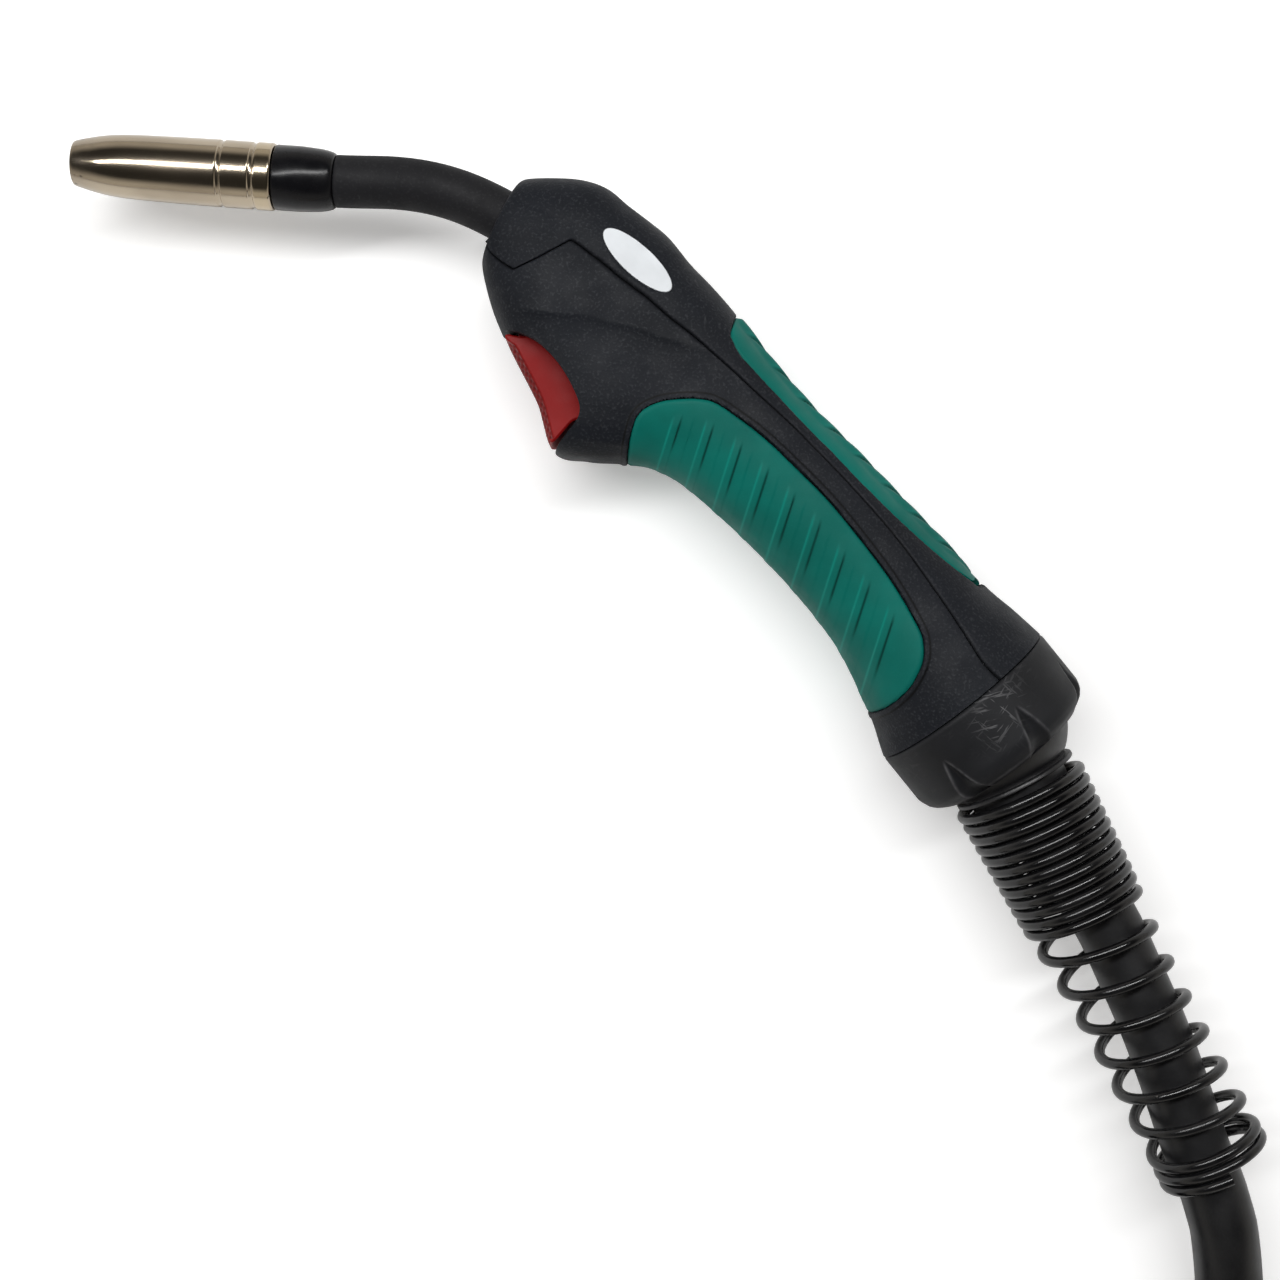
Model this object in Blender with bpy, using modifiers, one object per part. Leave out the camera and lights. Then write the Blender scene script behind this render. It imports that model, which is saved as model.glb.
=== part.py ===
"""MIG welding torch: gas nozzle, bent neck, two-shell pistol grip with soft inserts, trigger, ball-jointed
cable support spring, three metres of cable wound in a coil, and the central plug that fits the wire feeder.

The torch lies on its side, so its plane of symmetry is level. Sizes and places are in millimetres in the torch
plane: x runs from the mouth of the nozzle to the back along the nozzle's own axis, y points away from the
trigger, and z is the height above the plane of symmetry.
"""

import math

import bmesh
import bpy
import numpy as np
from mathutils import Matrix, Vector

MM = 0.001
GAP = 0.3  # between pieces that touch
SLACK = 0.4  # between pieces that slide or turn on each other
MERGE = 0.00001  # metres

# ---- the frame -------------------------------------------------------------------------------------------
# The torch plane's x and y at the middle of the torch's own outline, which is the part's origin.
MIDDLE_X = 165.84
MIDDLE_Y = -121.11

# ---- nozzle, tip and neck --------------------------------------------------------------------------------
NECK_R = 6.85
NECK_WALL = 1.4
NECK_TUBE_PLAY = 0.45
NECK_TUBE_R = NECK_R - NECK_WALL - NECK_TUBE_PLAY
NECK_BORE_R = 2.6
NECK_STRAIGHT = 80.2  # x where the bend begins
NECK_BEND_R = 78.0
NECK_BEND = 45.0  # degrees
SLEEVE_BEND = 34.0  # degrees of the bend that the sleeve covers
NOZZLE_BACK = 53.0  # x of the nozzle's back end
NOZZLE_LENGTH = 53.0
NOZZLE_OVER_NECK = 1.9
NOZZLE_R = NECK_R + NOZZLE_OVER_NECK
NOZZLE_MOUTH_R = 5.7
NOZZLE_WALL = 1.2
NOZZLE_CONE = 13.0  # length of the cone at the mouth
# The outside of the nozzle's front: distance from the mouth, and how much less than the full radius.
NOZZLE_TAPER = ((3.0, 1.85), (7.0, 1.05), (NOZZLE_CONE, 0.6), (25.0, 0.15))
GROOVES = (14.4, 5.1)  # ring grooves, before the nozzle's end
GROOVE_WIDTH = 1.6
GROOVE_DEPTH = 0.25
TIP_RECESS = 5.8  # from the mouth of the nozzle to the end of the contact tip
TIP_LENGTH = 25.0
TIP_R = 3.0
WIRE_BORE_R = 0.6
HOLDER_R = NECK_TUBE_R - 0.7
HOLDER_END = 1.8  # behind the nozzle's end
HOLDER_OVERLAP = 6.0  # of the holder on the tip
NOZZLE_SPRING_WIRE = 0.5  # radius
NOZZLE_SPRING_TURNS = 3
NOZZLE_SPRING_PITCH = 1.6
INSULATOR_LENGTH = 15.8
INSULATOR_R = NOZZLE_R - 0.25
BLOCK_LENGTH = 24.0
BLOCK_R = NECK_TUBE_R + 2.9

# ---- handle ----------------------------------------------------------------------------------------------
# Sections across the handle, from the mouth at the neck to the seam at the collar: top x, top y, bottom x,
# bottom y, half width, and where the seam between the shells crosses, as a share of the way down.
SECTIONS = (
    (117.6, 0.2, 110.4, -17.2, 11.0, 0.85),
    (120.6, 2.2, 109.6, -20.5, 13.0, 0.84),
    (132.7, 2.8, 112.6, -30.2, 15.5, 0.75),
    (140.7, 0.9, 116.8, -39.0, 17.0, 0.44),
    (147.0, -3.6, 124.0, -52.0, 18.0, 0.32),
    (153.0, -7.8, 132.0, -65.6, 18.5, 0.295),
    (158.0, -12.2, 141.3, -67.3, 19.0, 0.285),
    (164.1, -18.2, 149.8, -67.6, 19.3, 0.30),
    (170.2, -22.8, 157.4, -69.6, 19.5, 0.31),
    (177.1, -28.6, 165.7, -73.0, 19.5, 0.31),
    (187.2, -39.5, 175.5, -80.0, 19.5, 0.278),
    (199.2, -51.5, 186.5, -89.0, 19.5, 0.24),
    (211.9, -62.5, 199.5, -101.1, 20.0, 0.245),
    (224.1, -73.5, 210.5, -113.6, 21.0, 0.255),
    (236.3, -84.4, 217.8, -125.8, 22.5, 0.285),
    (248.3, -95.0, 221.5, -133.3, 24.3, 0.325),
    (255.8, -100.5, 223.6, -138.6, 25.4, 0.36),
    (262.95, -106.1, 224.9, -141.75, 26.0, 0.36),
)
FULLNESS = (2.2, 2.4, 2.7, 2.9, 3.0, 3.0, 2.9, 2.7, 2.5, 2.4, 2.3, 2.2, 2.2, 2.1, 2.1, 2.0, 2.0, 2.0)
UPPER_POINTS = 11  # across the outside of a shell
LOWER_POINTS = 15
CAVITY_POINTS = 18
SHELL_WALL = 2.8
FRONT_WALL = 0.65  # sections
GRIP_DEEP = 1.1  # thickness of the soft inserts
GRIP_PLAY = 0.6
# The edge of the lower insert: section number and share of the way down.
LOWER_GRIP = (
    (7.12, 0.8),
    (7.6, 0.7),
    (8.0, 0.66),
    (9.0, 0.57),
    (10.0, 0.48),
    (11.0, 0.44),
    (12.0, 0.445),
    (13.0, 0.47),
    (14.0, 0.505),
    (14.45, 0.57),
    (14.8, 0.68),
)
UPPER_GRIP = (
    (9.05, 0.13),
    (9.5, 0.17),
    (10.0, 0.178),
    (11.0, 0.165),
    (12.0, 0.17),
    (13.0, 0.15),
    (14.0, 0.105),
    (14.85, 0.05),
)
GRIP_SPREAD = 6.0  # millimetres to a section, for the play round an insert
LABEL_AT = (5.25, 0.17)  # section, share
LABEL_LONG = 12.0
LABEL_WIDE = 5.6
LABEL_THICK = 0.6
LABEL_DEEP = 1.0
LABEL_TURN = -39.0  # degrees

# ---- trigger and switch ----------------------------------------------------------------------------------
TRIGGER_PIVOT = (121.2, -33.4)
TRIGGER_HALF = 9.6
TRIGGER_OUTLINE = (
    (116.7, -38.2),
    (119.0, -42.4),
    (124.3, -51.0),
    (127.2, -56.0),
    (129.0, -61.0),
    (130.2, -64.6),
    (131.8, -64.3),
    (136.9, -59.3),
    (139.4, -59.4),
    (141.1, -57.4),
    (138.8, -54.6),
    (137.4, -49.0),
    (134.2, -43.4),
    (130.0, -38.6),
    (126.0, -37.6),
    (122.0, -39.2),
)
LUG_HALF = 5.5
LUG_OUTLINE = (
    (121.5, -41.5),
    (120.6, -37.8),
    (118.7, -34.2),
    (118.6, -32.0),
    (120.0, -30.4),
    (122.2, -30.2),
    (124.0, -31.4),
    (128.5, -38.6),
    (128.0, -43.0),
)
TRIGGER_WINDOW = (
    (100.0, -37.4),
    (115.8, -37.4),
    (121.6, -38.4),
    (127.0, -41.2),
    (131.4, -45.1),
    (134.5, -48.9),
    (136.9, -53.0),
    (138.4, -56.4),
    (138.4, -58.6),
    (137.6, -60.3),
    (133.2, -64.7),
    (130.6, -67.4),
    (118.0, -72.0),
    (100.0, -60.0),
)
TRIGGER_PIN_R = 1.2
TRIGGER_PIN_HALF = 9.0
PIN_BOSS_R = 2.8
PIN_BOSS_END = 15.0  # z, inside the shell's wall
BOSS_OVERLAP = 3.0
TRIGGER_SLOT_HALF = 2.4
TRIGGER_SLOT_R = 4.2
LEG_SLOT = ((120.0, -32.5), (121.0, -26.0), (130.0, -26.0), (131.5, -36.5), (129.0, -38.8), (122.5, -37.4))
TORSION_R = 2.3
TORSION_WIRE = 0.35
TORSION_TURNS = 3
PLUNGER_R = 1.4
PLUNGER_AT = (139.95, -56.0)  # where the trigger meets the plunger
PLUNGER_LONG = 6.6
PLUNGER_BARE = 3.0
SWITCH_LONG = 7.2
SWITCH_WIDE = 11.0
SWITCH_THICK = 6.0
LEAD_STUB = 3.0
# The switch leads after their first straight bit: x, y, z.
LEAD_ROUTE = ((157.5, -61.8, 4.0), (165.0, -65.0, 6.5), (175.0, -72.4, 8.5), (186.0, -81.5, 8.7))
POST_R = 1.6
POST_END = 17.0  # z, inside the shell's wall
LEAD_R = 0.8
SCREW_R = 1.3
SCREW_HEAD_R = 2.5
SCREW_HEAD = 2.2
SCREW_LONG = 16.0
BOSS_R = 2.4
PAD_R = 3.4
PAD_HIGH = 7.4
BOSS_EMBED = 0.6
SINK_DEEP = 0.5

# ---- ball joint, collar and support spring ---------------------------------------------------------------
BALL = (251.4, -131.9)
COLLAR_DOWN = 46.93  # degrees below the nozzle's axis
SUPPORT_DOWN = 58.33
COLLAR_BACK = 10.0  # from the ball's centre to the collar's end
SEAM_AHEAD = 10.9  # from the seam to the ball's centre
CABLE_R = 8.75
BALL_OVER_CABLE = 12.25
BALL_R = CABLE_R + BALL_OVER_CABLE
SEAT_WALL = 1.8
SEAT_HALF = 1.3
SEAT_PLAY = 0.5
CAVITY_R = BALL_R + GAP + SEAT_WALL + SEAT_PLAY
COLLAR_WALL = 2.6
COLLAR_R = CAVITY_R + COLLAR_WALL
# The round of the collar's back: distance from the ball's centre, and how much less than the full radius.
COLLAR_ROUND = ((4.0, 0.0), (6.2, 0.6), (8.0, 2.0), (9.2, 3.8), (COLLAR_BACK, 5.8))
MOUTH_PLAY = 0.73  # between the collar's mouth and the ball
FLARE_R = 26.2  # the collar's radius that the handle's sections are drawn for
FLARE_FROM = 12  # the section at which the handle begins to follow the collar's radius
SPIGOT_R = CAVITY_R - 0.7
SPIGOT_ROOT_R = COLLAR_R - 1.5  # where the spigot joins the shells' wall
SPIGOT_LENGTH = 3.0
RECESSES = 7
RECESS_R = 6.0
RECESS_SLOPE = 15.0  # degrees
RECESS_FIRST = 13.0  # degrees from straight up
SLEEVE_WALL = 3.75
SLEEVE_R = CABLE_R + SLACK + GAP + SLEEVE_WALL
SLEEVE_END = 32.0  # from the ball's centre
LIP_NECK_R = SLEEVE_R + 1.7
LIP_R = SLEEVE_R + 3.4
BALL_BACK = math.sqrt(BALL_R**2 - (LIP_NECK_R + 0.752) ** 2)  # where the ball ends in the lip's neck
BALL_FRONT = 0.595 * BALL_R
LIP_START = BALL_BACK + 1.0  # from the ball's centre
LIP_THICK = 1.4
LIP_END = LIP_START + LIP_THICK
SPRING_WIRE = 1.35  # radius
SPRING_START = LIP_END + GAP + SPRING_WIRE
SPRING_TIGHT_TURNS = 11.5
SPRING_OPEN_TURNS = 7.0
SPRING_END_TURNS = 2.0
SPRING_TIGHT_PITCH = 3.2
SPRING_OPEN_PITCH = 10.2
SPRING_END = 130.83  # from the ball's centre
# The spring's outside: distance from the ball's centre, and how much more than the cable's radius.
SPRING_OUTSIDE = ((16.0, 9.45), (51.0, 8.15), (62.0, 7.45), (76.0, 6.65), (95.0, 6.35), (134.0, 6.85))
SPRING_POINTS = 10  # to a turn

# The screws, beside the neck's block and ahead of the ball: name, section and z.
BLOCK_CLEAR = 0.6
CABLE_CLEAR = 0.55
FRONT_SCREW_Z = -(max(BLOCK_R, CABLE_R - 0.85) + BOSS_R + BLOCK_CLEAR)
REAR_SCREW_Z = -(CABLE_R + BOSS_R + CABLE_CLEAR)
REAR_SCREW_AT = 15.55 - (BALL_OVER_CABLE - 12.25) / 7.5
SCREWS = {"front_screw": (6.55, FRONT_SCREW_Z), "rear_screw": (REAR_SCREW_AT, REAR_SCREW_Z)}

# ---- cable -----------------------------------------------------------------------------------------------
# The cable's middle line in the handle, from the neck's block to the ball.
INNER_ROUTE = ((163.0, -50.6), (176.0, -63.6), (190.0, -76.3), (205.0, -89.3), (220.0, -103.0), (235.0, -116.4))
# How far the cable leans off the spring's middle line: distance from the ball, lean.
SUPPORT_LEAN = (
    (2.4, 0.0),
    (16.0, 0.0),
    (32.0, 0.0),
    (46.0, 1.5),
    (60.0, 2.5),
    (75.0, 2.5),
    (90.0, 1.9),
    (105.0, 0.7),
    (119.0, -0.8),
    (126.5, -2.0),
    (134.0, -3.3),
)
COIL_X = 226.0
COIL_Y = -405.4
COIL_R = 112.0  # of the outermost turn
COIL_TURNS = 4.25
COIL_PITCH = 2 * CABLE_R + 1.75
COIL_STEP = 2 * CABLE_R + 0.9  # between the layers
COIL_HEIGHT = CABLE_R + 1.65  # of the lower layer's middle line
COIL_END = 2 * CABLE_R + GAP  # from the coil's round part to the cable that goes on
# The free cable, from the end of the spring to the coil: x, y, and height above the ground.
FREE_ROUTE = (
    (319.2, -248.3, COLLAR_R),
    (321.75, -254.8, COLLAR_R),
    (323.9, -261.4, COLLAR_R - 0.2),
    (327.3, -277.0, 22.6),
    (329.7, -295.0, 18.2),
    (332.5, -312.0, 14.4),
    (334.8, -330.0, 11.6),
    (336.8, -350.0, 10.5),
    (COIL_X + COIL_R, -370.0, COIL_HEIGHT),
    (COIL_X + COIL_R, COIL_Y + COIL_END, COIL_HEIGHT),
)
COIL_POINTS = 24  # to a turn
TIES = (165.0, -15.0)  # degrees round the coil
TIE_WIDE = 16.0
TIE_THICK = 1.3
TIE_PLAY = 1.6
# The tail between the coil and the plug.
TAIL_Y = COIL_Y - COIL_R
PLUG_HEIGHT = 22.5  # of the plug's axis above the ground
TAIL_DROP = COIL_HEIGHT + COIL_STEP - PLUG_HEIGHT
TAIL_ROUTE = (
    (COIL_X - COIL_END, TAIL_Y, COIL_HEIGHT + COIL_STEP),
    (COIL_X - COIL_END - 12.2, TAIL_Y, COIL_HEIGHT + COIL_STEP),
    (180.0, TAIL_Y, PLUG_HEIGHT + 0.841 * TAIL_DROP),
    (160.0, TAIL_Y, PLUG_HEIGHT + 0.397 * TAIL_DROP),
    (144.0, TAIL_Y, PLUG_HEIGHT + 0.079 * TAIL_DROP),
    (131.0, TAIL_Y, PLUG_HEIGHT),
    (86.0, TAIL_Y, PLUG_HEIGHT),
)

# ---- plug ------------------------------------------------------------------------------------------------
PLUG_REAR = (131.0, TAIL_Y, PLUG_HEIGHT)  # the back end of the boot; the plug points along -x
BOOT_LONG = 38.0
BOOT_R = CABLE_R + 1.85
BOOT_ROOT_R = CABLE_R + 4.85
BOOT_RIM = 2.6
HOUSING_START = 31.0
HOUSING_END = 72.6
HOUSING_R = BOOT_ROOT_R + 6.8
HOUSING_WALL = 2.4
FERRULE_R = CABLE_R + 1.45
BODY_START = 66.0
BODY_R = HOUSING_R - 4.0
FLANGE_R = BODY_R + 2.1
FLANGE_START = 80.0
FACE = 84.0  # of the plug's body
NUT_START = 73.0
NUT_BORE_R = FLANGE_R + 0.7
NUT_WALL = 3.3
NUT_R = NUT_BORE_R + NUT_WALL
NUT_END = 101.0
NUT_RIBS = 12
NUT_RIB_R = 1.5
BLOCK_FACE = 90.0
PIN_BLOCK_R = BODY_R - 1.0
WIRE_PIN_R = 5.0
WIRE_PIN_BORE_R = 2.2
WIRE_PIN_END = 112.0
RING_AT = 104.5
RING_WIRE = 1.0  # radius
CONTROL_PIN_R = 1.8
CONTROL_PIN_OUT = 10.2  # from the plug's axis
CONTROL_PIN_END = 96.5
CONTROL_PIN_ROOT = 81.5
CONTROL_TRAVEL = 2.5

FINISHES = {
    "nickel": ((0.42, 0.36, 0.28), 0.28, 1.0),
    "copper": ((0.72, 0.34, 0.2), 0.35, 1.0),
    "brass": ((0.72, 0.53, 0.25), 0.35, 1.0),
    "steel": ((0.45, 0.45, 0.46), 0.35, 1.0),
    "spring_black": ((0.01, 0.01, 0.011), 0.25, 0.0),
    "shell_black": ((0.017, 0.018, 0.021), 0.6, 0.0),
    "gloss_black": ((0.004, 0.004, 0.005), 0.15, 0.0),
    "neck_black": ((0.019, 0.019, 0.021), 0.65, 0.0),
    "cable_black": ((0.012, 0.012, 0.013), 0.45, 0.0),
    "green": ((0.002, 0.122, 0.092), 0.55, 0.0),
    "red": ((0.24, 0.012, 0.012), 0.4, 0.0),
    "white": ((0.75, 0.78, 0.81), 0.5, 0.0),
    "nylon": ((0.55, 0.52, 0.45), 0.5, 0.0),
    "strap": ((0.02, 0.02, 0.022), 0.9, 0.0),
    "lead_blue": ((0.02, 0.08, 0.4), 0.5, 0.0),
}


# ---- tools -----------------------------------------------------------------------------------------------


def world(x, y, z=0.0):
    """A place in the torch plane, as the part's own coordinates in metres."""
    return Vector(((x - MIDDLE_X) * MM, (y - MIDDLE_Y) * MM, (COLLAR_R + z) * MM))


def above_ground(x, y, height):
    return world(x, y, height - COLLAR_R)


def down(degrees):
    """The unit vector that points back and down from the nozzle's axis by an angle."""
    return np.array([math.cos(math.radians(degrees)), -math.sin(math.radians(degrees))])


def finish(name):
    material = bpy.data.materials.get(name)
    if material is None:
        color, rough, metal = FINISHES[name]
        material = bpy.data.materials.new(name)
        material.use_nodes = True
        shader = material.node_tree.nodes["Principled BSDF"]
        shader.inputs["Base Color"].default_value = (*color, 1.0)
        shader.inputs["Roughness"].default_value = rough
        shader.inputs["Metallic"].default_value = metal
        material.diffuse_color = (*color, 1.0)
    return material


def add(name, data, coat, parent=None, at=None, turn=None):
    """Put mesh or curve data into the part as one named piece, or into the guides when it has no finish."""
    piece = bpy.data.objects.new(name, data)
    if coat is None:
        guides.objects.link(piece)
        piece.hide_render = True
        piece.display_type = "WIRE"
    else:
        parts.objects.link(piece)
        data.materials.append(finish(coat))
    if at is not None:
        piece.location = at
    if turn is not None:
        piece.rotation_mode = "QUATERNION"
        piece.rotation_quaternion = turn
    if parent is not None:
        bpy.context.view_layer.update()
        piece.parent = parent
        piece.matrix_parent_inverse = parent.matrix_world.inverted()
    return piece


def mesh_of(name, points, edges=(), faces=()):
    data = bpy.data.meshes.new(name)
    data.from_pydata([tuple(p) for p in points], list(edges), list(faces))
    return data


def toward(direction):
    """The turn that brings local Z onto a direction, local X staying as level as it can."""
    z = Vector(direction).normalized()
    x = Vector((0.0, 0.0, 1.0)) if abs(z.z) < 0.9 else Vector((1.0, 0.0, 0.0))
    x = (x - z * x.dot(z)).normalized()
    return Matrix((x, z.cross(x), z)).transposed().to_quaternion()


def turned(name, coat, profile, at, direction, steps=28, parent=None):
    """A turned piece: (along, radius) points in millimetres, spun about the axis that leaves `at`."""
    if sum(a[1] * b[0] - b[1] * a[0] for a, b in zip(profile, profile[1:] + profile[:1])) > 0:
        profile = profile[::-1]
    count = len(profile)
    edges = [(k, (k + 1) % count) for k in range(count)]
    edges = [e for e in edges if profile[e[0]][1] > 0 or profile[e[1]][1] > 0]
    data = mesh_of(name, [(r * MM, 0.0, along * MM) for along, r in profile], edges)
    piece = add(name, data, coat, parent, at, toward(direction))
    spin = piece.modifiers.new("spin", "SCREW")
    spin.axis = "Z"
    spin.steps = steps
    spin.render_steps = steps
    spin.use_merge_vertices = True
    spin.merge_threshold = MERGE
    spin.use_smooth_shade = True
    return piece


def tube(name, coat, points, radius, sides=2, shares=None, wall=None, parent=None):
    """A round bar or hose along points in metres; shares scale its radius at each point."""
    curve = bpy.data.curves.new(name, "CURVE")
    curve.dimensions = "3D"
    curve.bevel_depth = radius * MM
    curve.bevel_resolution = sides
    curve.use_fill_caps = wall is None
    line = curve.splines.new("POLY")
    line.points.add(len(points) - 1)
    for k, p in enumerate(points):
        line.points[k].co = (*p, 1.0)
        line.points[k].radius = 1.0 if shares is None else shares[k]
    piece = add(name, curve, coat, parent)
    if wall is not None:
        thick = piece.modifiers.new("wall", "SOLIDIFY")
        thick.thickness = wall * MM
        thick.offset = -1.0
    return piece


def meshed(piece):
    """The same piece as a closed mesh, so that it can be cut."""
    bpy.context.view_layer.update()
    seen = piece.evaluated_get(bpy.context.evaluated_depsgraph_get())
    data = bpy.data.meshes.new_from_object(seen)
    shape = bmesh.new()
    shape.from_mesh(data)
    bmesh.ops.remove_doubles(shape, verts=shape.verts, dist=MERGE)
    bmesh.ops.recalc_face_normals(shape, faces=shape.faces)
    shape.to_mesh(data)
    shape.free()
    name, owner, home = piece.name, piece.parent, piece.users_collection[0]
    place = piece.matrix_world.copy()
    bpy.data.objects.remove(piece)
    solid = bpy.data.objects.new(name, data)
    home.objects.link(solid)
    if owner is not None:
        solid.parent = owner
        solid.matrix_parent_inverse = owner.matrix_world.inverted()
    solid.matrix_world = place
    if home == guides:
        solid.hide_render = True
        solid.display_type = "WIRE"
    return solid


def combine(piece, other, operation):
    step = piece.modifiers.new(operation.lower() + "_" + other.name, "BOOLEAN")
    step.operation = operation
    step.solver = "EXACT"
    step.object = other


def cut(piece, other):
    combine(piece, other, "DIFFERENCE")


def join(piece, other):
    combine(piece, other, "UNION")


def rod(name, coat, radius, start, end, at, direction, steps=24, parent=None):
    """A plain round pin or cutter, from start to end in millimetres along an axis."""
    profile = [(start, 0.0), (start, radius), (end, radius), (end, 0.0)]
    return turned(name, coat, profile, at, direction, steps, parent)


def block(name, coat, size, at, turn, rounding=0.0, parent=None):
    """A box with its sizes along its own axes, and rounded edges."""
    data = bpy.data.meshes.new(name)
    shape = bmesh.new()
    bmesh.ops.create_cube(shape, size=1.0)
    bmesh.ops.scale(shape, vec=[s * MM for s in size], verts=shape.verts)
    shape.to_mesh(data)
    shape.free()
    piece = add(name, data, coat, parent, at, turn)
    if rounding:
        edge = piece.modifiers.new("edges", "BEVEL")
        edge.width = rounding * MM
        edge.segments = 2
    return piece


def slab(name, coat, outline, low, high, origin=(0.0, 0.0), parent=None, rounding=0.0):
    """A flat outline in the torch plane, as thick as from low to high in z; origin is where its own centre lies."""
    curve = bpy.data.curves.new(name, "CURVE")
    curve.dimensions = "2D"
    curve.fill_mode = "BOTH"
    curve.extrude = (high - low) / 2 * MM
    line = curve.splines.new("POLY")
    line.points.add(len(outline) - 1)
    for k, (x, y) in enumerate(outline):
        line.points[k].co = ((x - origin[0]) * MM, (y - origin[1]) * MM, 0.0, 1.0)
    line.use_cyclic_u = True
    piece = meshed(add(name, curve, coat, parent, world(*origin, (low + high) / 2)))
    if rounding:
        edge = piece.modifiers.new("edges", "BEVEL")
        edge.width = rounding * MM
        edge.segments = 1
        edge.limit_method = "ANGLE"
        edge.angle_limit = math.radians(40)
    return piece


def lofted(name, coat, rings, caps, parent=None):
    """A closed skin over rings of points: caps is STRIP for a bent wall, whose ring is its outside and then its
    inside the other way, and DISC for a plain section."""
    count, around = rings.shape[:2]
    faces = []
    for i in range(count - 1):
        for j in range(around):
            k = (j + 1) % around
            faces.append((i * around + j, i * around + k, (i + 1) * around + k, (i + 1) * around + j))
    for i, first in ((0, True), (count - 1, False)):
        if caps == "STRIP":
            for j in range(around // 2 - 1):
                quad = [i * around + n for n in (j, j + 1, around - 2 - j, around - 1 - j)]
                faces.append(tuple(quad if first else quad[::-1]))
        else:
            disc = [i * around + n for n in range(around)]
            faces.append(tuple(disc[::-1] if first else disc))
    data = mesh_of(name, rings.reshape(-1, 3), (), faces)
    shape = bmesh.new()
    shape.from_mesh(data)
    bmesh.ops.recalc_face_normals(shape, faces=shape.faces)
    shape.to_mesh(data)
    shape.free()
    return add(name, data, coat, parent)


def spline(rows, t):
    """A smooth row between the rows of a table, at t rows from the first, through every row."""
    rows = np.asarray(rows, float)
    k = int(min(max(math.floor(t), 0), len(rows) - 2))
    f = t - k
    a, b, c, d = rows[max(k - 1, 0)], rows[k], rows[k + 1], rows[min(k + 2, len(rows) - 1)]
    square, cube = 2 * a - 5 * b + 4 * c - d, 3 * b - a - 3 * c + d
    return 0.5 * (2 * b + (c - a) * f + square * f**2 + cube * f**3)


def smooth_line(points, step):
    """Points about a step apart, in metres, on the smooth curve through a route's own points."""
    points = np.asarray(points, float)
    fine = np.array([spline(points, t) for t in np.linspace(0, len(points) - 1, 20 * len(points))])
    along = np.concatenate([[0.0], np.cumsum(np.linalg.norm(np.diff(fine, axis=0), axis=1))])
    at = np.linspace(0, along[-1], max(2, round(along[-1] / step) + 1))
    return [Vector([np.interp(s, along, fine[:, k]) for k in range(3)]) for s in at]


# ---- the handle's shape ----------------------------------------------------------------------------------


def section(t):
    """The middle, the unit vector to the top, the half height, half width, seam and fullness at a section."""
    row = spline(SECTIONS, t)
    full = float(spline(np.array(FULLNESS)[:, None], t)[0])
    top, bottom = row[:2], row[2:4]
    high = np.linalg.norm(top - bottom) / 2
    share = min(1.0, max(0.0, (t - FLARE_FROM) / (len(SECTIONS) - 1 - FLARE_FROM)))
    flare = 1 + (COLLAR_R / FLARE_R - 1) * share
    return (top + bottom) / 2, (top - bottom) / (2 * high), high * flare, row[4] * flare, row[5], full


def angle_at(share, full):
    """The angle from the top at which a share of the way down is reached."""
    level = 1.0 - 2.0 * share
    return math.acos(max(-1.0, min(1.0, math.copysign(abs(level) ** (full / 2), level))))


def skin(t, angles, inset):
    """Points on the handle's section at angles from its top, a distance inside its outline."""
    middle, up, tall, wide, _, full = section(t)
    c, s = np.cos(angles), np.sin(angles)
    level = (tall - inset) * np.sign(c) * np.abs(c) ** (2 / full)
    side = (wide - inset) * np.sign(s) * np.abs(s) ** (2 / full)
    flat = middle + np.outer(level, up)
    return np.array([world(x, y, z) for (x, y), z in zip(flat, side)])


def half_rings(upper):
    """Rings of one half of the handle as if it were full: its outside from one edge of the seam to the other."""
    rings = []
    for t in range(len(SECTIONS)):
        _, _, tall, _, seam, full = section(t)
        edge = angle_at(seam + (-GAP if upper else GAP) / (4 * tall), full)
        span = (-edge, edge, UPPER_POINTS) if upper else (edge, 2 * math.pi - edge, LOWER_POINTS)
        rings.append(skin(t, np.linspace(*span), 0.0))
    return np.array(rings)


def cavity_rings():
    """Rings of the space inside the handle, from the wall behind its mouth to past the seam at the collar."""
    places = [FRONT_WALL, *range(1, len(SECTIONS) - 1), len(SECTIONS) - 0.8]
    angles = np.linspace(0, 2 * math.pi, CAVITY_POINTS, endpoint=False)
    return np.array([skin(t, angles + math.pi / CAVITY_POINTS, SHELL_WALL) for t in places])


def grip_rings(table, upper, out, deep, grow):
    """Rings of a soft insert, or of the pocket that takes it when it grows."""
    table = np.array(table)
    first, last = table[0, 0], table[-1, 0]
    inner = np.unique(np.concatenate([table[1:-1, 0], np.arange(math.ceil(first), last)]))
    table[:, 0] += grow / GRIP_SPREAD * np.interp(table[:, 0], [first, last], [-1, 1])
    places = [table[0, 0], *inner, table[-1, 0]]
    points = 9 if upper else 11
    rings = []
    for t in places:
        _, _, tall, _, _, full = section(t)
        share = float(np.interp(t, table[:, 0], table[:, 1])) + (grow if upper else -grow) / (2 * tall)
        edge = angle_at(max(0.01, min(0.99, share)), full)
        angles = np.linspace(-edge, edge, points) if upper else np.linspace(edge, 2 * math.pi - edge, points)
        rings.append(np.concatenate([skin(t, angles, -out), skin(t, angles, deep)[::-1]]))
    return np.array(rings)


def side_place(t, share):
    """A place on the handle's upper side, and the direction straight out of the surface there."""
    full = section(t)[5]
    edge = angle_at(share, full)
    here = skin(t, [edge], 0.0)[0]
    along = skin(t + 0.05, [edge], 0.0)[0] - here
    across = skin(t, [edge + 0.05], 0.0)[0] - here
    out = Vector(across).cross(Vector(along)).normalized()
    if out.z < 0:
        out = -out
    return Vector(here), out


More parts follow.
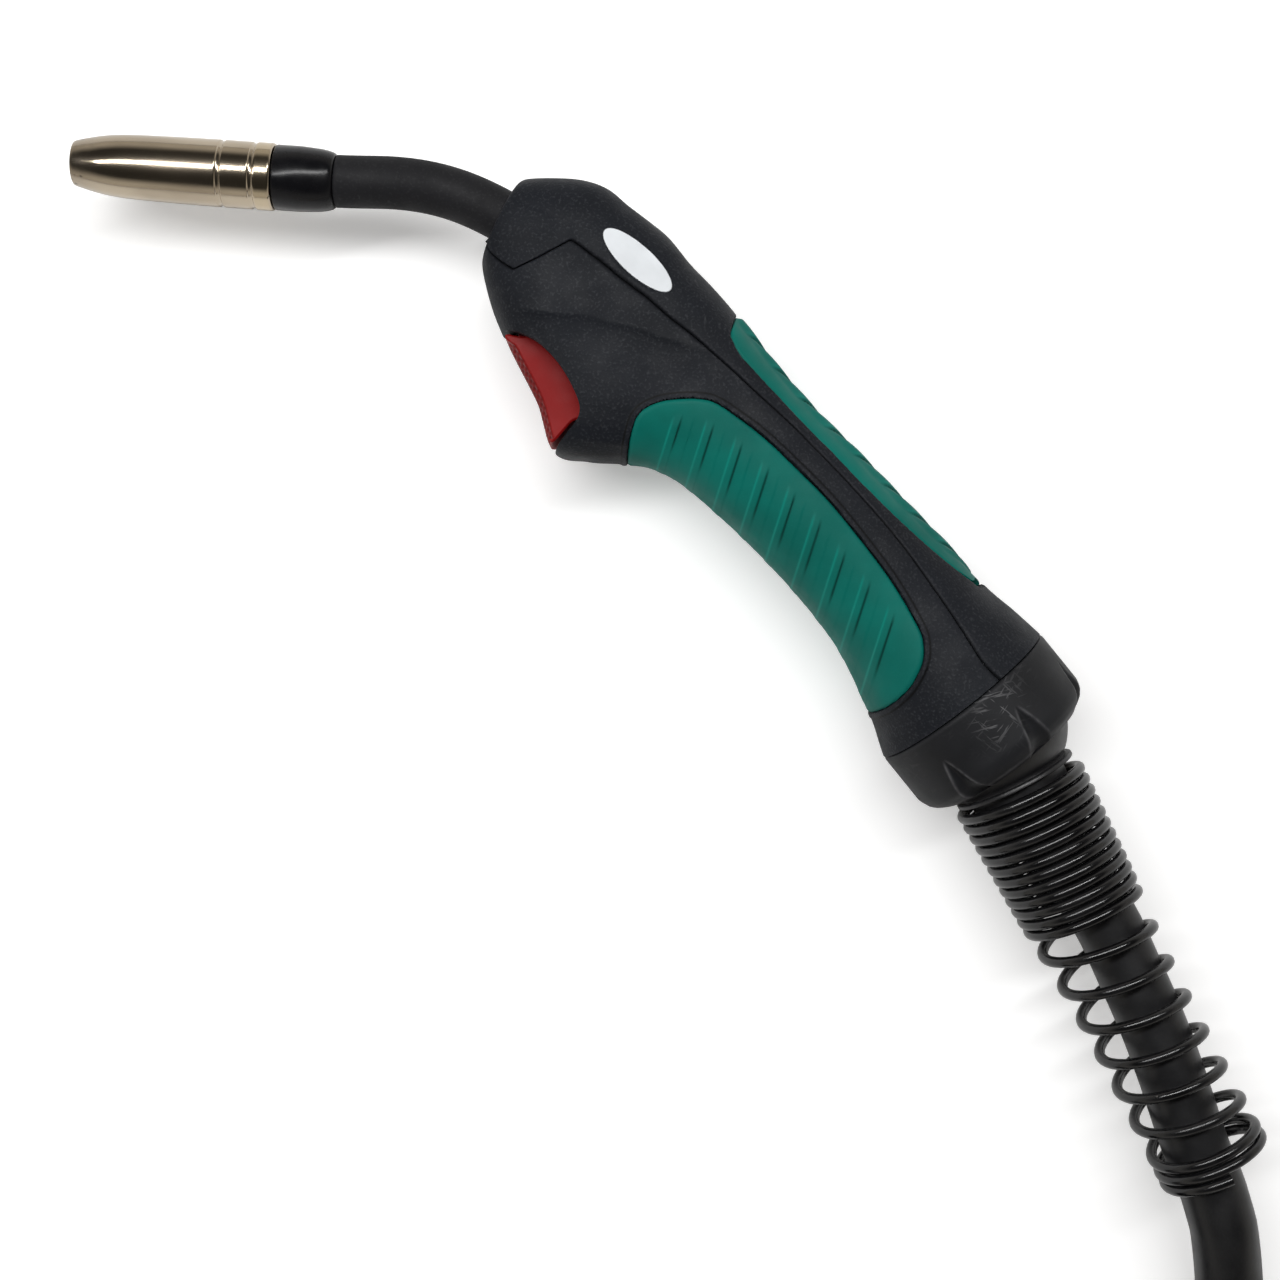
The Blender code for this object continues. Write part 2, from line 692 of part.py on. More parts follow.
def through(t, z, inset=0.0):
    """The middle of the handle at a section, as a place at a height, the direction to the section's top, and how
    far the surface a distance inside the outline reaches that way."""
    middle, up, tall, wide, _, full = section(t)
    reach = (tall - inset) * (1 - (abs(z) / (wide - inset)) ** full) ** (1 / full)
    return world(*middle, z), Vector((*up, 0.0)), reach


# ---- front end -------------------------------------------------------------------------------------------


def nozzle_end():
    mouth = NOZZLE_BACK - NOZZLE_LENGTH
    front = world(mouth, 0.0)
    back = Vector((1.0, 0.0, 0.0))
    outside = [(0.0, NOZZLE_MOUTH_R), *[(at, NOZZLE_R - less) for at, less in NOZZLE_TAPER]]
    for before in GROOVES:
        at = NOZZLE_LENGTH - before
        low = NOZZLE_R - GROOVE_DEPTH
        outside += [(at, NOZZLE_R), (at, low), (at + GROOVE_WIDTH, low), (at + GROOVE_WIDTH, NOZZLE_R)]
    outside.append((NOZZLE_LENGTH, NOZZLE_R))
    bore = NOZZLE_R - NOZZLE_WALL
    lip = NOZZLE_MOUTH_R - NOZZLE_WALL
    inside = [(NOZZLE_LENGTH, bore), (NOZZLE_CONE + 4.0, bore), (3.0, lip + 0.8), (0.0, lip)]
    turned("gas_nozzle", "nickel", outside + inside, front, back, 24, nozzle)
    tip = [(TIP_RECESS, WIRE_BORE_R), (TIP_RECESS, 1.9), (TIP_RECESS + 2.0, TIP_R)]
    tip += [(TIP_RECESS + TIP_LENGTH, TIP_R), (TIP_RECESS + TIP_LENGTH, WIRE_BORE_R)]
    turned("contact_tip", "copper", tip, front, back, 16, handle)
    start = TIP_RECESS + TIP_LENGTH - HOLDER_OVERLAP
    end = NOZZLE_LENGTH + HOLDER_END
    seat = TIP_RECESS + TIP_LENGTH + GAP
    holder = [(start, TIP_R + GAP), (start, HOLDER_R), (end - 12.0, HOLDER_R), (end - 12.0, NECK_TUBE_R)]
    holder += [(end, NECK_TUBE_R), (end, WIRE_BORE_R), (seat, WIRE_BORE_R), (seat, TIP_R + GAP)]
    turned("tip_holder", "brass", holder, front, back, 20, handle)
    nozzle_clip(mouth + end - 10.0)
    sleeve_start = NOZZLE_LENGTH + GAP
    sleeve_end = sleeve_start + INSULATOR_LENGTH
    plug_r = NOZZLE_R - NOZZLE_WALL - SLACK
    neck_r = NECK_TUBE_R + GAP
    ring = [(sleeve_start - 5.5, neck_r), (sleeve_start - 5.5, plug_r), (sleeve_start, plug_r)]
    ring += [(sleeve_start, INSULATOR_R), (sleeve_end - 3.0, INSULATOR_R - 0.5), (sleeve_end - 0.8, INSULATOR_R - 0.8)]
    ring += [(sleeve_end, NECK_R + 0.2), (sleeve_end, neck_r)]
    turned("nozzle_insulator", "gloss_black", ring, front, back, 24, handle)
    return mouth + sleeve_end


def nozzle_clip(start):
    """The wire clip on the tip holder that grips the nozzle from inside."""
    mean = NECK_TUBE_R + 2 * GAP + NOZZLE_SPRING_WIRE
    turns = np.linspace(0, NOZZLE_SPRING_TURNS, NOZZLE_SPRING_TURNS * 8 + 1) * 2 * math.pi
    along = start - 6.0 + NOZZLE_SPRING_PITCH * turns / (2 * math.pi)
    points = [world(x, mean * math.cos(a), mean * math.sin(a)) for x, a in zip(along, turns)]
    tube("nozzle_spring", "steel", points, NOZZLE_SPRING_WIRE, 0, parent=handle)


def neck_line(start, bend, extra, step):
    """The neck's middle line: straight from a place, round the bend, then straight on again."""
    points = [(x, 0.0) for x in np.linspace(start, NECK_STRAIGHT, 3)]
    count = max(2, round(bend / step))
    for a in np.radians(np.linspace(0, bend, count + 1)[1:]):
        points.append((NECK_STRAIGHT + NECK_BEND_R * math.sin(a), NECK_BEND_R * (math.cos(a) - 1)))
    if extra:
        last = np.array(points[-1]) + extra * down(bend)
        points.append(tuple(last))
    return [world(x, y) for x, y in points]


def neck_end(extra=0.0):
    a = math.radians(NECK_BEND)
    end = np.array([NECK_STRAIGHT + NECK_BEND_R * math.sin(a), NECK_BEND_R * (math.cos(a) - 1)])
    return end + extra * down(NECK_BEND)


def neck(sleeve_start):
    line = neck_line(NOZZLE_BACK + HOLDER_END + GAP, NECK_BEND, 6.0, 5.0)
    tube("neck_tube", "copper", line, NECK_TUBE_R, 2, wall=NECK_TUBE_R - NECK_BORE_R, parent=handle)
    line = neck_line(sleeve_start + GAP, SLEEVE_BEND, 0.0, 5.0)
    tube("neck_sleeve", "neck_black", line, NECK_R, 3, wall=NECK_WALL, parent=handle)
    bore = meshed(tube("neck_bore", None, neck_line(70.0, NECK_BEND, 30.0, 5.0), NECK_R + GAP + 0.1, 3))
    at = world(*neck_end(1.0))
    along = Vector((*down(NECK_BEND), 0.0))
    socket = 5.0 + GAP
    fitting = [(0.0, NECK_TUBE_R + GAP), (0.0, BLOCK_R), (BLOCK_LENGTH, BLOCK_R), (BLOCK_LENGTH, NECK_BORE_R)]
    fitting += [(socket, NECK_BORE_R), (socket, NECK_TUBE_R + GAP)]
    turned("neck_block", "brass", fitting, at, along, 20, handle)
    return bore


# ---- handle ----------------------------------------------------------------------------------------------


def collar_profile_spigot(inner):
    """The round end of the shells that goes into the collar."""
    start, end = -SEAM_AHEAD - 4.0, -SEAM_AHEAD + SPIGOT_LENGTH
    root = -SEAM_AHEAD - 0.6
    root_r = SPIGOT_ROOT_R
    return [(start, inner), (start, root_r), (root, root_r), (root, SPIGOT_R), (end, SPIGOT_R), (end, inner)]


def shells(neck_bore):
    upper = lofted("upper_shell", "shell_black", half_rings(True), "DISC", handle)
    lower = lofted("lower_shell", "shell_black", half_rings(False), "DISC", handle)
    cavity = lofted("cavity", None, cavity_rings(), "DISC")
    floored = lofted("cavity_over_pads", None, cavity_rings(), "DISC")
    for name, (t, z) in SCREWS.items():
        middle, up, reach = through(t, z)
        cut(floored, rod(name + "_pad", None, PAD_R, -2 * reach, PAD_HIGH - reach, middle, up, 14))
    cut(upper, cavity)
    cut(lower, floored)
    lofted("upper_grip", "green", grip_rings(UPPER_GRIP, True, 0.0, GRIP_DEEP, 0.0), "STRIP", handle)
    lofted("lower_grip", "green", grip_rings(LOWER_GRIP, False, 0.0, GRIP_DEEP, 0.0), "STRIP", handle)
    pocket = GRIP_DEEP + GRIP_PLAY
    cut(upper, lofted("upper_pocket", None, grip_rings(UPPER_GRIP, True, 2.0, pocket, GRIP_PLAY), "STRIP"))
    cut(lower, lofted("lower_pocket", None, grip_rings(LOWER_GRIP, False, 2.0, pocket, GRIP_PLAY), "STRIP"))
    add_spigots(upper, lower)
    cut(upper, neck_bore)
    cut(lower, neck_bore)
    window = slab("trigger_window", None, TRIGGER_WINDOW, -30.0, 30.0)
    cut(lower, window)
    label(upper)
    for name, (t, z) in SCREWS.items():
        screw(name, t, z, upper, lower)
    return upper, lower


def add_spigots(upper, lower):
    """Half rings at the back of both shells, which the collar slides over."""
    at = world(*BALL)
    axis = Vector((*down(COLLAR_DOWN), 0.0))
    seam = section(len(SECTIONS) - 1)
    level = seam[2] * (1 - 2 * seam[4])
    across = Vector((*seam[1], 0.0))
    middle = Vector((*(np.array(BALL) - SEAM_AHEAD * down(COLLAR_DOWN)), 0.0))
    for shell, sign in ((upper, 1), (lower, -1)):
        ring = turned(shell.name + "_spigot", None, collar_profile_spigot(SPIGOT_R - 1.9), at, axis, 28)
        reach = 40.0
        far = middle + across * (level + sign * (GAP + reach))
        keep = block(
            shell.name + "_half", None, (2 * reach, 2 * reach, 2 * reach), world(far.x, far.y), toward(across)
        )
        combine(ring, keep, "INTERSECT")
        join(shell, ring)


def label(upper):
    here, out = side_place(*LABEL_AT)
    long_way = Vector((*down(-LABEL_TURN), 0.0))
    x = (long_way - out * long_way.dot(out)).normalized()
    turn = Matrix((x, out.cross(x), out)).transposed().to_quaternion()
    for name, coat, grow, low, high in (
        ("label_plate", "white", 0.0, GAP - LABEL_DEEP, GAP - LABEL_DEEP + LABEL_THICK),
        ("label_pocket", None, GAP, -LABEL_DEEP, 4.0),
    ):
        data = bpy.data.meshes.new(name)
        shape = bmesh.new()
        bmesh.ops.create_cone(shape, cap_ends=True, segments=40, radius1=1.0, radius2=1.0, depth=1.0)
        size = ((LABEL_LONG + grow) * MM, (LABEL_WIDE + grow) * MM, (high - low) * MM)
        bmesh.ops.scale(shape, vec=size, verts=shape.verts)
        shape.to_mesh(data)
        shape.free()
        piece = add(name, data, coat, handle if coat else None, here + out * ((low + high) / 2 * MM), turn)
        if coat is None:
            cut(upper, piece)


def screw(name, t, z, upper, lower):
    """A screw from the underside into a boss of the upper shell, on the side away from the label."""
    middle, up, reach = through(t, z)
    floor = PAD_HIGH - reach
    ceiling = through(t, abs(z) + BOSS_R)[2] - BOSS_EMBED
    foot = max(floor, -through(t, abs(z) + BOSS_R + 0.1, SHELL_WALL)[2]) + GAP
    join(upper, rod(name + "_boss", None, BOSS_R, foot, ceiling, middle, up, 14))
    head = -reach + SCREW_HEAD + SINK_DEEP
    end = head + SCREW_LONG
    cut(lower, rod(name + "_sink", None, SCREW_HEAD_R + GAP, -reach - 5.0, head, middle, up, 14))
    cut(lower, rod(name + "_hole", None, SCREW_R + GAP, -reach - 5.0, floor + 5.0, middle, up, 12))
    cut(upper, rod(name + "_pilot", None, SCREW_R + GAP, floor - 5.0, end + 0.6, middle, up, 12))
    socket = 1.2
    profile = [(head - GAP - SCREW_HEAD + socket, 0.0), (head - GAP - SCREW_HEAD + socket, 1.3)]
    profile += [(head - GAP - SCREW_HEAD, 1.5), (head - GAP - SCREW_HEAD, SCREW_HEAD_R - 0.3)]
    profile += [(head - GAP - SCREW_HEAD + 0.4, SCREW_HEAD_R), (head - GAP, SCREW_HEAD_R), (head - GAP, SCREW_R)]
    profile += [(end, SCREW_R), (end, 0.0)]
    turned(name, "steel", profile, middle, up, 14, handle)


def torch_cable():
    start = neck_end(1.0 + BLOCK_LENGTH + GAP)
    line = [world(*start), *[world(x, y) for x, y in INNER_ROUTE], world(*BALL)]
    points = smooth_line(line, 14 * MM)
    axis = Vector((*down(COLLAR_DOWN), 0.0))
    shares = [1.0] * len(points)
    for a in np.radians([18, 36, 54, 70, 82]):
        points.append(world(*BALL) + axis * (CABLE_R * MM * math.sin(a)))
        shares.append(math.cos(a))
    tube("cable_in_handle", "cable_black", points, CABLE_R, 3, shares, parent=handle)


# ---- trigger and switch ----------------------------------------------------------------------------------


def trigger_set(lower):
    pivot = world(*TRIGGER_PIVOT)
    side = Vector((0.0, 0.0, 1.0))
    half = TRIGGER_HALF
    lever = slab("trigger", "red", TRIGGER_OUTLINE, -half, half, TRIGGER_PIVOT, trigger, 1.0)
    join(lever, slab("trigger_lug", None, LUG_OUTLINE, -LUG_HALF, LUG_HALF))
    half += 5.0
    cut(lever, rod("pivot_hole", None, TRIGGER_PIN_R + GAP, -half, half, pivot, side, 16))
    slot = TRIGGER_SLOT_HALF
    cut(lever, rod("spring_slot", None, TRIGGER_SLOT_R, -slot, slot, pivot, side, 24))
    cut(lever, slab("leg_slot", None, LEG_SLOT, -slot, slot))
    rod("trigger_pin", "steel", TRIGGER_PIN_R, -TRIGGER_PIN_HALF, TRIGGER_PIN_HALF, pivot, side, 16, handle)
    half = TRIGGER_PIN_HALF - BOSS_OVERLAP
    for sign in (-1, 1):
        end = TRIGGER_PIN_HALF + GAP
        boss = [(half, TRIGGER_PIN_R + GAP), (half, PIN_BOSS_R), (PIN_BOSS_END, PIN_BOSS_R), (PIN_BOSS_END, 0.0)]
        boss += [(end, 0.0), (end, TRIGGER_PIN_R + GAP)]
        join(lower, turned(f"pin_boss_{sign}", None, boss, pivot, side * sign, 14))
    turns = np.linspace(-0.25, TORSION_TURNS + 0.05, 8 * TORSION_TURNS) * 2 * math.pi
    rise = np.linspace(-1.0, 1.0, len(turns)) * (slot - 0.6)
    coil = [
        world(TRIGGER_PIVOT[0] + TORSION_R * math.cos(a), TRIGGER_PIVOT[1] + TORSION_R * math.sin(a), z)
        for a, z in zip(turns, rise)
    ]
    first = world(TRIGGER_PIVOT[0] + 7.6, TRIGGER_PIVOT[1] - 3.4, rise[0])
    last = world(TRIGGER_PIVOT[0] + 4.6, TRIGGER_PIVOT[1] + 7.0, rise[-1])
    tube("trigger_spring", "steel", [first, *coil, last], TORSION_WIRE, 0, parent=handle)
    switch(lower)


def switch(lower):
    """The small switch behind the trigger, with its plunger pointing at the trigger's back."""
    arm = np.array(PLUNGER_AT) - np.array(TRIGGER_PIVOT)
    push = np.array([-arm[1], arm[0]]) / np.linalg.norm(arm)
    along = Vector((*push, 0.0))
    at = world(*(np.array(PLUNGER_AT) + GAP * push))
    rod("switch_plunger", "nylon", PLUNGER_R, 0.0, PLUNGER_LONG, at, along, 16, plunger)
    start = PLUNGER_BARE
    middle = at + along * ((start + SWITCH_LONG / 2) * MM)
    body = block(
        "switch_body", "gloss_black", (SWITCH_THICK, SWITCH_WIDE, SWITCH_LONG), middle, toward(along), 0.3, handle
    )
    cut(body, rod("plunger_bore", None, PLUNGER_R + GAP, -5.0, PLUNGER_LONG + 0.2 + 3.0, at, along, 16))
    out = np.array([push[1], -push[0]])
    root = np.array(PLUNGER_AT) + GAP * push + (start + 0.7 * SWITCH_LONG) * push + (SWITCH_WIDE / 2 + GAP) * out
    for sign in (-1, 1):
        aside = Vector((0, 0, sign))
        join(lower, rod(f"switch_post_{sign}", None, POST_R, SWITCH_THICK / 2 + GAP, POST_END, middle, aside, 12))
        route = [(*(root + out * LEAD_STUB), 1.6), *LEAD_ROUTE]
        route.insert(0, (*root, 1.6))
        line = [world(x, y, sign * z) for x, y, z in route]
        name = "switch_lead_near" if sign > 0 else "switch_lead_far"
        tube(name, "lead_blue", smooth_line(line, 3 * MM), LEAD_R, 1, parent=handle)


# ---- ball joint, collar and support spring ---------------------------------------------------------------


def sphere_arc(radius, low, high, count):
    """(along, radius) points on a ball, from one place along its axis to another."""
    angles = np.linspace(math.acos(low / radius), math.acos(high / radius), count)
    return [(radius * math.cos(a), radius * math.sin(a)) for a in angles]


def collar_piece():
    at = world(*BALL)
    axis = Vector((*down(COLLAR_DOWN), 0.0))
    front = GAP - SEAM_AHEAD
    outside = [(front, COLLAR_R), *[(along, COLLAR_R - less) for along, less in COLLAR_ROUND]]
    mouth = [(along, math.sqrt(BALL_R**2 - along**2) + MOUTH_PLAY) for along in (COLLAR_BACK, 8.4)]
    mouth.append((7.0, CAVITY_R - 1.1))
    cavity = sphere_arc(CAVITY_R, 6.4, -4.0, 4) + [(-4.4, SPIGOT_R + SLACK), (front, SPIGOT_R + SLACK)]
    ring = turned("collar", "shell_black", outside + mouth + cavity, at, axis, 32, collar)
    turn = toward(axis)
    for k in range(RECESSES):
        around = math.radians(RECESS_FIRST) + 2 * math.pi * k / RECESSES
        out = turn @ Vector((math.cos(around), -math.sin(around), 0.0))
        lean = math.radians(RECESS_SLOPE)
        direction = axis * math.cos(lean) - out * math.sin(lean)
        start = at + out * ((COLLAR_R + RECESS_R) * MM)
        cut(ring, rod(f"recess_{k}", None, RECESS_R, -2.0, 24.0, start, direction, 14))
    return ring


def ball_set():
    at = world(*BALL)
    axis = Vector((*down(SUPPORT_DOWN), 0.0))
    seat_in = BALL_R + GAP
    seat = sphere_arc(seat_in, -SEAT_HALF, SEAT_HALF, 3) + sphere_arc(seat_in + SEAT_WALL, SEAT_HALF, -SEAT_HALF, 2)
    turned("ball_seat", "nylon", seat, at, axis, 32, seat_ring)
    bore = CABLE_R + SLACK + GAP
    outside = sphere_arc(BALL_R, -BALL_FRONT, BALL_BACK, 6) + [(LIP_START, LIP_NECK_R), (LIP_START, LIP_R)]
    outside += [(LIP_END, LIP_R), (LIP_END, SLEEVE_R), (SLEEVE_END - 1.0, SLEEVE_R), (SLEEVE_END, SLEEVE_R - 1.0)]
    rim = math.sqrt(BALL_R**2 - BALL_FRONT**2)
    inside = [(SLEEVE_END, bore), (6.0, bore), (2.0, BALL_R - 5.6), (-BALL_FRONT, rim - 0.88)]
    turned("ball_joint", "gloss_black", outside + inside, at, axis, 24, support)


def spring_line():
    """The support spring's middle line: close turns, open turns, then close turns again, wound left-handed."""
    turns = SPRING_TIGHT_TURNS + SPRING_OPEN_TURNS + SPRING_END_TURNS
    n = np.arange(0, turns * SPRING_POINTS + 1) / SPRING_POINTS
    open_from, open_to = SPRING_TIGHT_TURNS, SPRING_TIGHT_TURNS + SPRING_OPEN_TURNS
    ease = 0.25
    opened = np.interp(n, [open_from, open_from + ease, open_to - ease, open_to], [0.0, 1.0, 1.0, 0.0])
    pitch = SPRING_TIGHT_PITCH + (SPRING_OPEN_PITCH - SPRING_TIGHT_PITCH) * opened
    along = np.concatenate([[0.0], np.cumsum((pitch[1:] + pitch[:-1]) / 2 / SPRING_POINTS)])
    along = SPRING_START + along * (SPRING_END - SPRING_START) / along[-1]
    places, more = zip(*SPRING_OUTSIDE)
    mean = CABLE_R + np.interp(along, places, more) - SPRING_WIRE
    turn = math.pi / 2 - 2 * math.pi * (n - SPRING_TIGHT_TURNS)
    axis, side = down(SUPPORT_DOWN), down(SUPPORT_DOWN - 90.0)
    flat = np.array(BALL) + along[:, None] * axis + (mean * np.cos(turn))[:, None] * side
    return np.column_stack([flat, mean * np.sin(turn)]), along[-1]


def support_set():
    line, end = spring_line()
    report_gap("support_spring", line, SPRING_WIRE, SPRING_POINTS)
    points = [world(*p) for p in line]
    tube("support_spring", "spring_black", points, SPRING_WIRE, 1, parent=support)
    axis, side = down(SUPPORT_DOWN), down(SUPPORT_DOWN - 90.0)
    route = [world(*(np.array(BALL) + s * axis + lean * side)) for s, lean in SUPPORT_LEAN]
    cable = meshed(tube("cable_in_support", "cable_black", smooth_line(route, 14 * MM), CABLE_R, 2, parent=lead))
    cup = bpy.data.meshes.new("cup")
    shape = bmesh.new()
    bmesh.ops.create_uvsphere(shape, u_segments=20, v_segments=12, radius=(CABLE_R + GAP) * MM)
    shape.to_mesh(cup)
    shape.free()
    cut(cable, add("cup", cup, None, None, world(*BALL)))
    return end


# ---- cable, coil and plug --------------------------------------------------------------------------------


def report_gap(name, line, radius, per_turn):
    """Print the least gap between a wound tube's own turns, in millimetres."""
    line = np.asarray(line, float)
    fine = np.concatenate([line[:-1] + (line[1:] - line[:-1]) * f for f in (0.0, 0.25, 0.5, 0.75)])
    order = np.concatenate([np.arange(len(line) - 1) + f for f in (0.0, 0.25, 0.5, 0.75)])
    apart = np.linalg.norm(fine[:, None] - fine[None], axis=2)
    apart[np.abs(order[:, None] - order[None]) < per_turn / 3] = np.inf
    print(f"{name}: least gap to itself {apart.min() - 2 * radius:.2f} mm")


def coil_line():
    """The coil's middle line: in to its smallest turn on the lower layer, up a layer where it turns back, and
    out again, with a straight end one cable thick at each end."""
    n = np.linspace(0, COIL_TURNS, round(COIL_TURNS * COIL_POINTS) + 1)
    half = COIL_TURNS / 2
    r = COIL_R - COIL_PITCH * (half - np.abs(n - half))
    climb = np.clip((n - half) / 0.5 + 0.5, 0, 1)
    height = COIL_HEIGHT + COIL_STEP * (3 * climb**2 - 2 * climb**3)
    turn = -2 * math.pi * n
    line = np.column_stack([COIL_X + r * np.cos(turn), COIL_Y + r * np.sin(turn), height])
    straight = 2 * CABLE_R
    first = line[0] + [0.0, straight, 0.0]
    last = line[-1] + [-straight, 0.0, 0.0]
    return np.vstack([first, line, last])


def lead_set():
    line = coil_line()
    report_gap("cable_coil", line, CABLE_R, COIL_POINTS)
    tube("cable_coil", "cable_black", [above_ground(*p) for p in line], CABLE_R, 1, parent=lead)
    route = [above_ground(*p) for p in FREE_ROUTE]
    tube("cable_free", "cable_black", smooth_line(route, 1.7 * CABLE_R * MM), CABLE_R, 2, parent=lead)
    route = [above_ground(*p) for p in TAIL_ROUTE]
    tube("cable_tail", "cable_black", smooth_line(route, 2.4 * CABLE_R * MM), CABLE_R, 3, parent=lead)
    for number, around in enumerate(TIES, 1):
        tie(f"cable_tie_{number}", around, line)


def tie(name, around, line):
    """A strap round all the turns where they pass one direction from the coil's middle."""
    flat = line[1:-1]
    bearing = np.degrees(np.arctan2(flat[:, 1] - COIL_Y, flat[:, 0] - COIL_X))
    near = np.abs((bearing - around + 180) % 360 - 180) < 11.0
    r = np.hypot(flat[near, 0] - COIL_X, flat[near, 1] - COIL_Y)
    low, high = r.min() - CABLE_R - TIE_PLAY, r.max() + CABLE_R + TIE_PLAY
    top = COIL_HEIGHT + COIL_STEP + CABLE_R + GAP
    bottom = COIL_HEIGHT - CABLE_R - GAP
    a = math.radians(around)
    out = Vector((math.cos(a), math.sin(a), 0.0))
    mid = (low + high) / 2
    at = above_ground(COIL_X + mid * out.x, COIL_Y + mid * out.y, (top + bottom) / 2)
    turn = Matrix((out, Vector((0, 0, 1)).cross(out), Vector((0, 0, 1)))).transposed().to_quaternion()
    size = (high - low, TIE_WIDE, top - bottom)
    band = block(name, "strap", (size[0] + 2 * TIE_THICK, size[1], size[2] + 2 * TIE_THICK), at, turn, 0.0, lead)
    cut(band, block(name + "_hole", None, (size[0], size[1] * 2, size[2]), at, turn))


def plug_set():
    at = above_ground(*PLUG_REAR)
    axis = Vector((-1.0, 0.0, 0.0))
    bore = CABLE_R + SLACK
    boot = [(0.0, bore), (0.0, BOOT_R), (HOUSING_START - 1.0, BOOT_ROOT_R), (HOUSING_START + 4.0, BOOT_ROOT_R)]
    rim = BOOT_ROOT_R + BOOT_RIM
    boot += [(HOUSING_START + 4.0, rim), (BOOT_LONG, rim), (BOOT_LONG, bore)]
    turned("plug_boot", "cable_black", boot, at, axis, 24, lead)
    inner = HOUSING_R - HOUSING_WALL
    housing = [(HOUSING_START, BOOT_ROOT_R + SLACK), (HOUSING_START, BOOT_ROOT_R + 2.0)]
    housing += [(HOUSING_START + 3.0, BOOT_ROOT_R + 4.0)]
    housing += [(HOUSING_START + 16.0, HOUSING_R - 0.6), (HOUSING_END - 6.0, HOUSING_R), (HOUSING_END, HOUSING_R)]
    housing += [(HOUSING_END, BODY_R + SLACK), (HOUSING_END - 3.0, BODY_R + SLACK), (HOUSING_END - 3.0, inner)]
    seat = HOUSING_START + 4.0 - GAP
    housing += [(BOOT_LONG + 9.0, inner), (BOOT_LONG + GAP, rim + SLACK), (seat, rim + SLACK)]
    housing += [(seat, BOOT_ROOT_R + SLACK)]
    turned("plug_housing", "shell_black", housing, at, axis, 20, lead)
    cable_end = PLUG_REAR[0] - TAIL_ROUTE[-1][0]
    start = BOOT_LONG + GAP
    ferrule = [(start, bore), (start, FERRULE_R), (BODY_START - GAP, FERRULE_R)]
    ferrule += [(BODY_START - GAP, WIRE_PIN_BORE_R), (cable_end + GAP, WIRE_PIN_BORE_R), (cable_end + GAP, bore)]
    turned("cable_ferrule", "copper", ferrule, at, axis, 20, lead)
    body = [(BODY_START, WIRE_PIN_BORE_R), (BODY_START, BODY_R), (FLANGE_START, BODY_R), (FLANGE_START, FLANGE_R)]
    body += [(FACE, FLANGE_R), (FACE, WIRE_PIN_BORE_R)]
    brass = turned("plug_body", "brass", body, at, axis, 24, lead)
    pin = [(FACE + GAP, WIRE_PIN_BORE_R), (FACE + GAP, WIRE_PIN_R), (RING_AT - RING_WIRE - 0.2, WIRE_PIN_R)]
    pin += [(RING_AT - RING_WIRE - 0.2, WIRE_PIN_R - 1.0), (RING_AT + RING_WIRE + 0.2, WIRE_PIN_R - 1.0)]
    pin += [(RING_AT + RING_WIRE + 0.2, WIRE_PIN_R), (WIRE_PIN_END - 1.5, WIRE_PIN_R), (WIRE_PIN_END, WIRE_PIN_R - 1.2)]
    pin += [(WIRE_PIN_END, WIRE_PIN_BORE_R)]
    turned("wire_pin", "brass", pin, at, axis, 20, lead)
    mean = WIRE_PIN_R - 1.0 + GAP + RING_WIRE
    angles = np.linspace(0, 2 * math.pi, 6, endpoint=False)
    ring = [(RING_AT + RING_WIRE * math.cos(a), mean + RING_WIRE * math.sin(a)) for a in angles]
    turned("gas_seal", "gloss_black", ring, at, axis, 20, lead)
    carrier = [(FACE + GAP, WIRE_PIN_R + GAP), (FACE + GAP, PIN_BLOCK_R), (BLOCK_FACE, PIN_BLOCK_R)]
    carrier += [(BLOCK_FACE, WIRE_PIN_R + GAP)]
    plate = turned("pin_block", "red", carrier, at, axis, 24, lead)
    for name, side, owner in (("control_pin_near", 1, pin_near), ("control_pin_far", -1, pin_far)):
        centre = at + Vector((0.0, 0.0, side * CONTROL_PIN_OUT * MM))
        hole_r = CONTROL_PIN_R + GAP
        deep = CONTROL_PIN_ROOT - CONTROL_TRAVEL - GAP
        cut(brass, rod(name + "_well", None, hole_r, deep, FACE + 3.0, centre, axis, 16))
        cut(plate, rod(name + "_hole", None, hole_r, FACE - 3.0, BLOCK_FACE + 3.0, centre, axis, 16))
        pin = [(CONTROL_PIN_ROOT, 0.0), (CONTROL_PIN_ROOT, CONTROL_PIN_R), (CONTROL_PIN_END - 0.8, CONTROL_PIN_R)]
        pin += [(CONTROL_PIN_END, CONTROL_PIN_R - 0.8), (CONTROL_PIN_END, 0.0)]
        turned(name, "brass", pin, centre, axis, 16, owner)
    nut(at, axis)


def nut(at, axis):
    """The union nut, with grip flutes round its outside and a coarse thread's bore inside."""
    inside = BODY_R + GAP + 0.3
    shoulder = FLANGE_START - SLACK
    profile = [(NUT_START, inside), (NUT_START, NUT_R - 2.0), (NUT_START + 2.0, NUT_R), (NUT_END - 1.0, NUT_R)]
    profile += [(NUT_END, NUT_R - 1.0), (NUT_END, NUT_BORE_R), (shoulder, NUT_BORE_R), (shoulder, inside)]
    ring = turned("union_nut", "shell_black", profile, at, axis, 24, union)
    for k in range(NUT_RIBS):
        around = 2 * math.pi * (k + 0.5) / NUT_RIBS
        place = at + Vector((0.0, math.cos(around), math.sin(around))) * ((NUT_R + 0.5) * MM)
        cut(ring, rod(f"flute_{k}", None, NUT_RIB_R, NUT_START + 4.0, NUT_END + 3.0, place, axis, 8))


# ---- the model -------------------------------------------------------------------------------------------


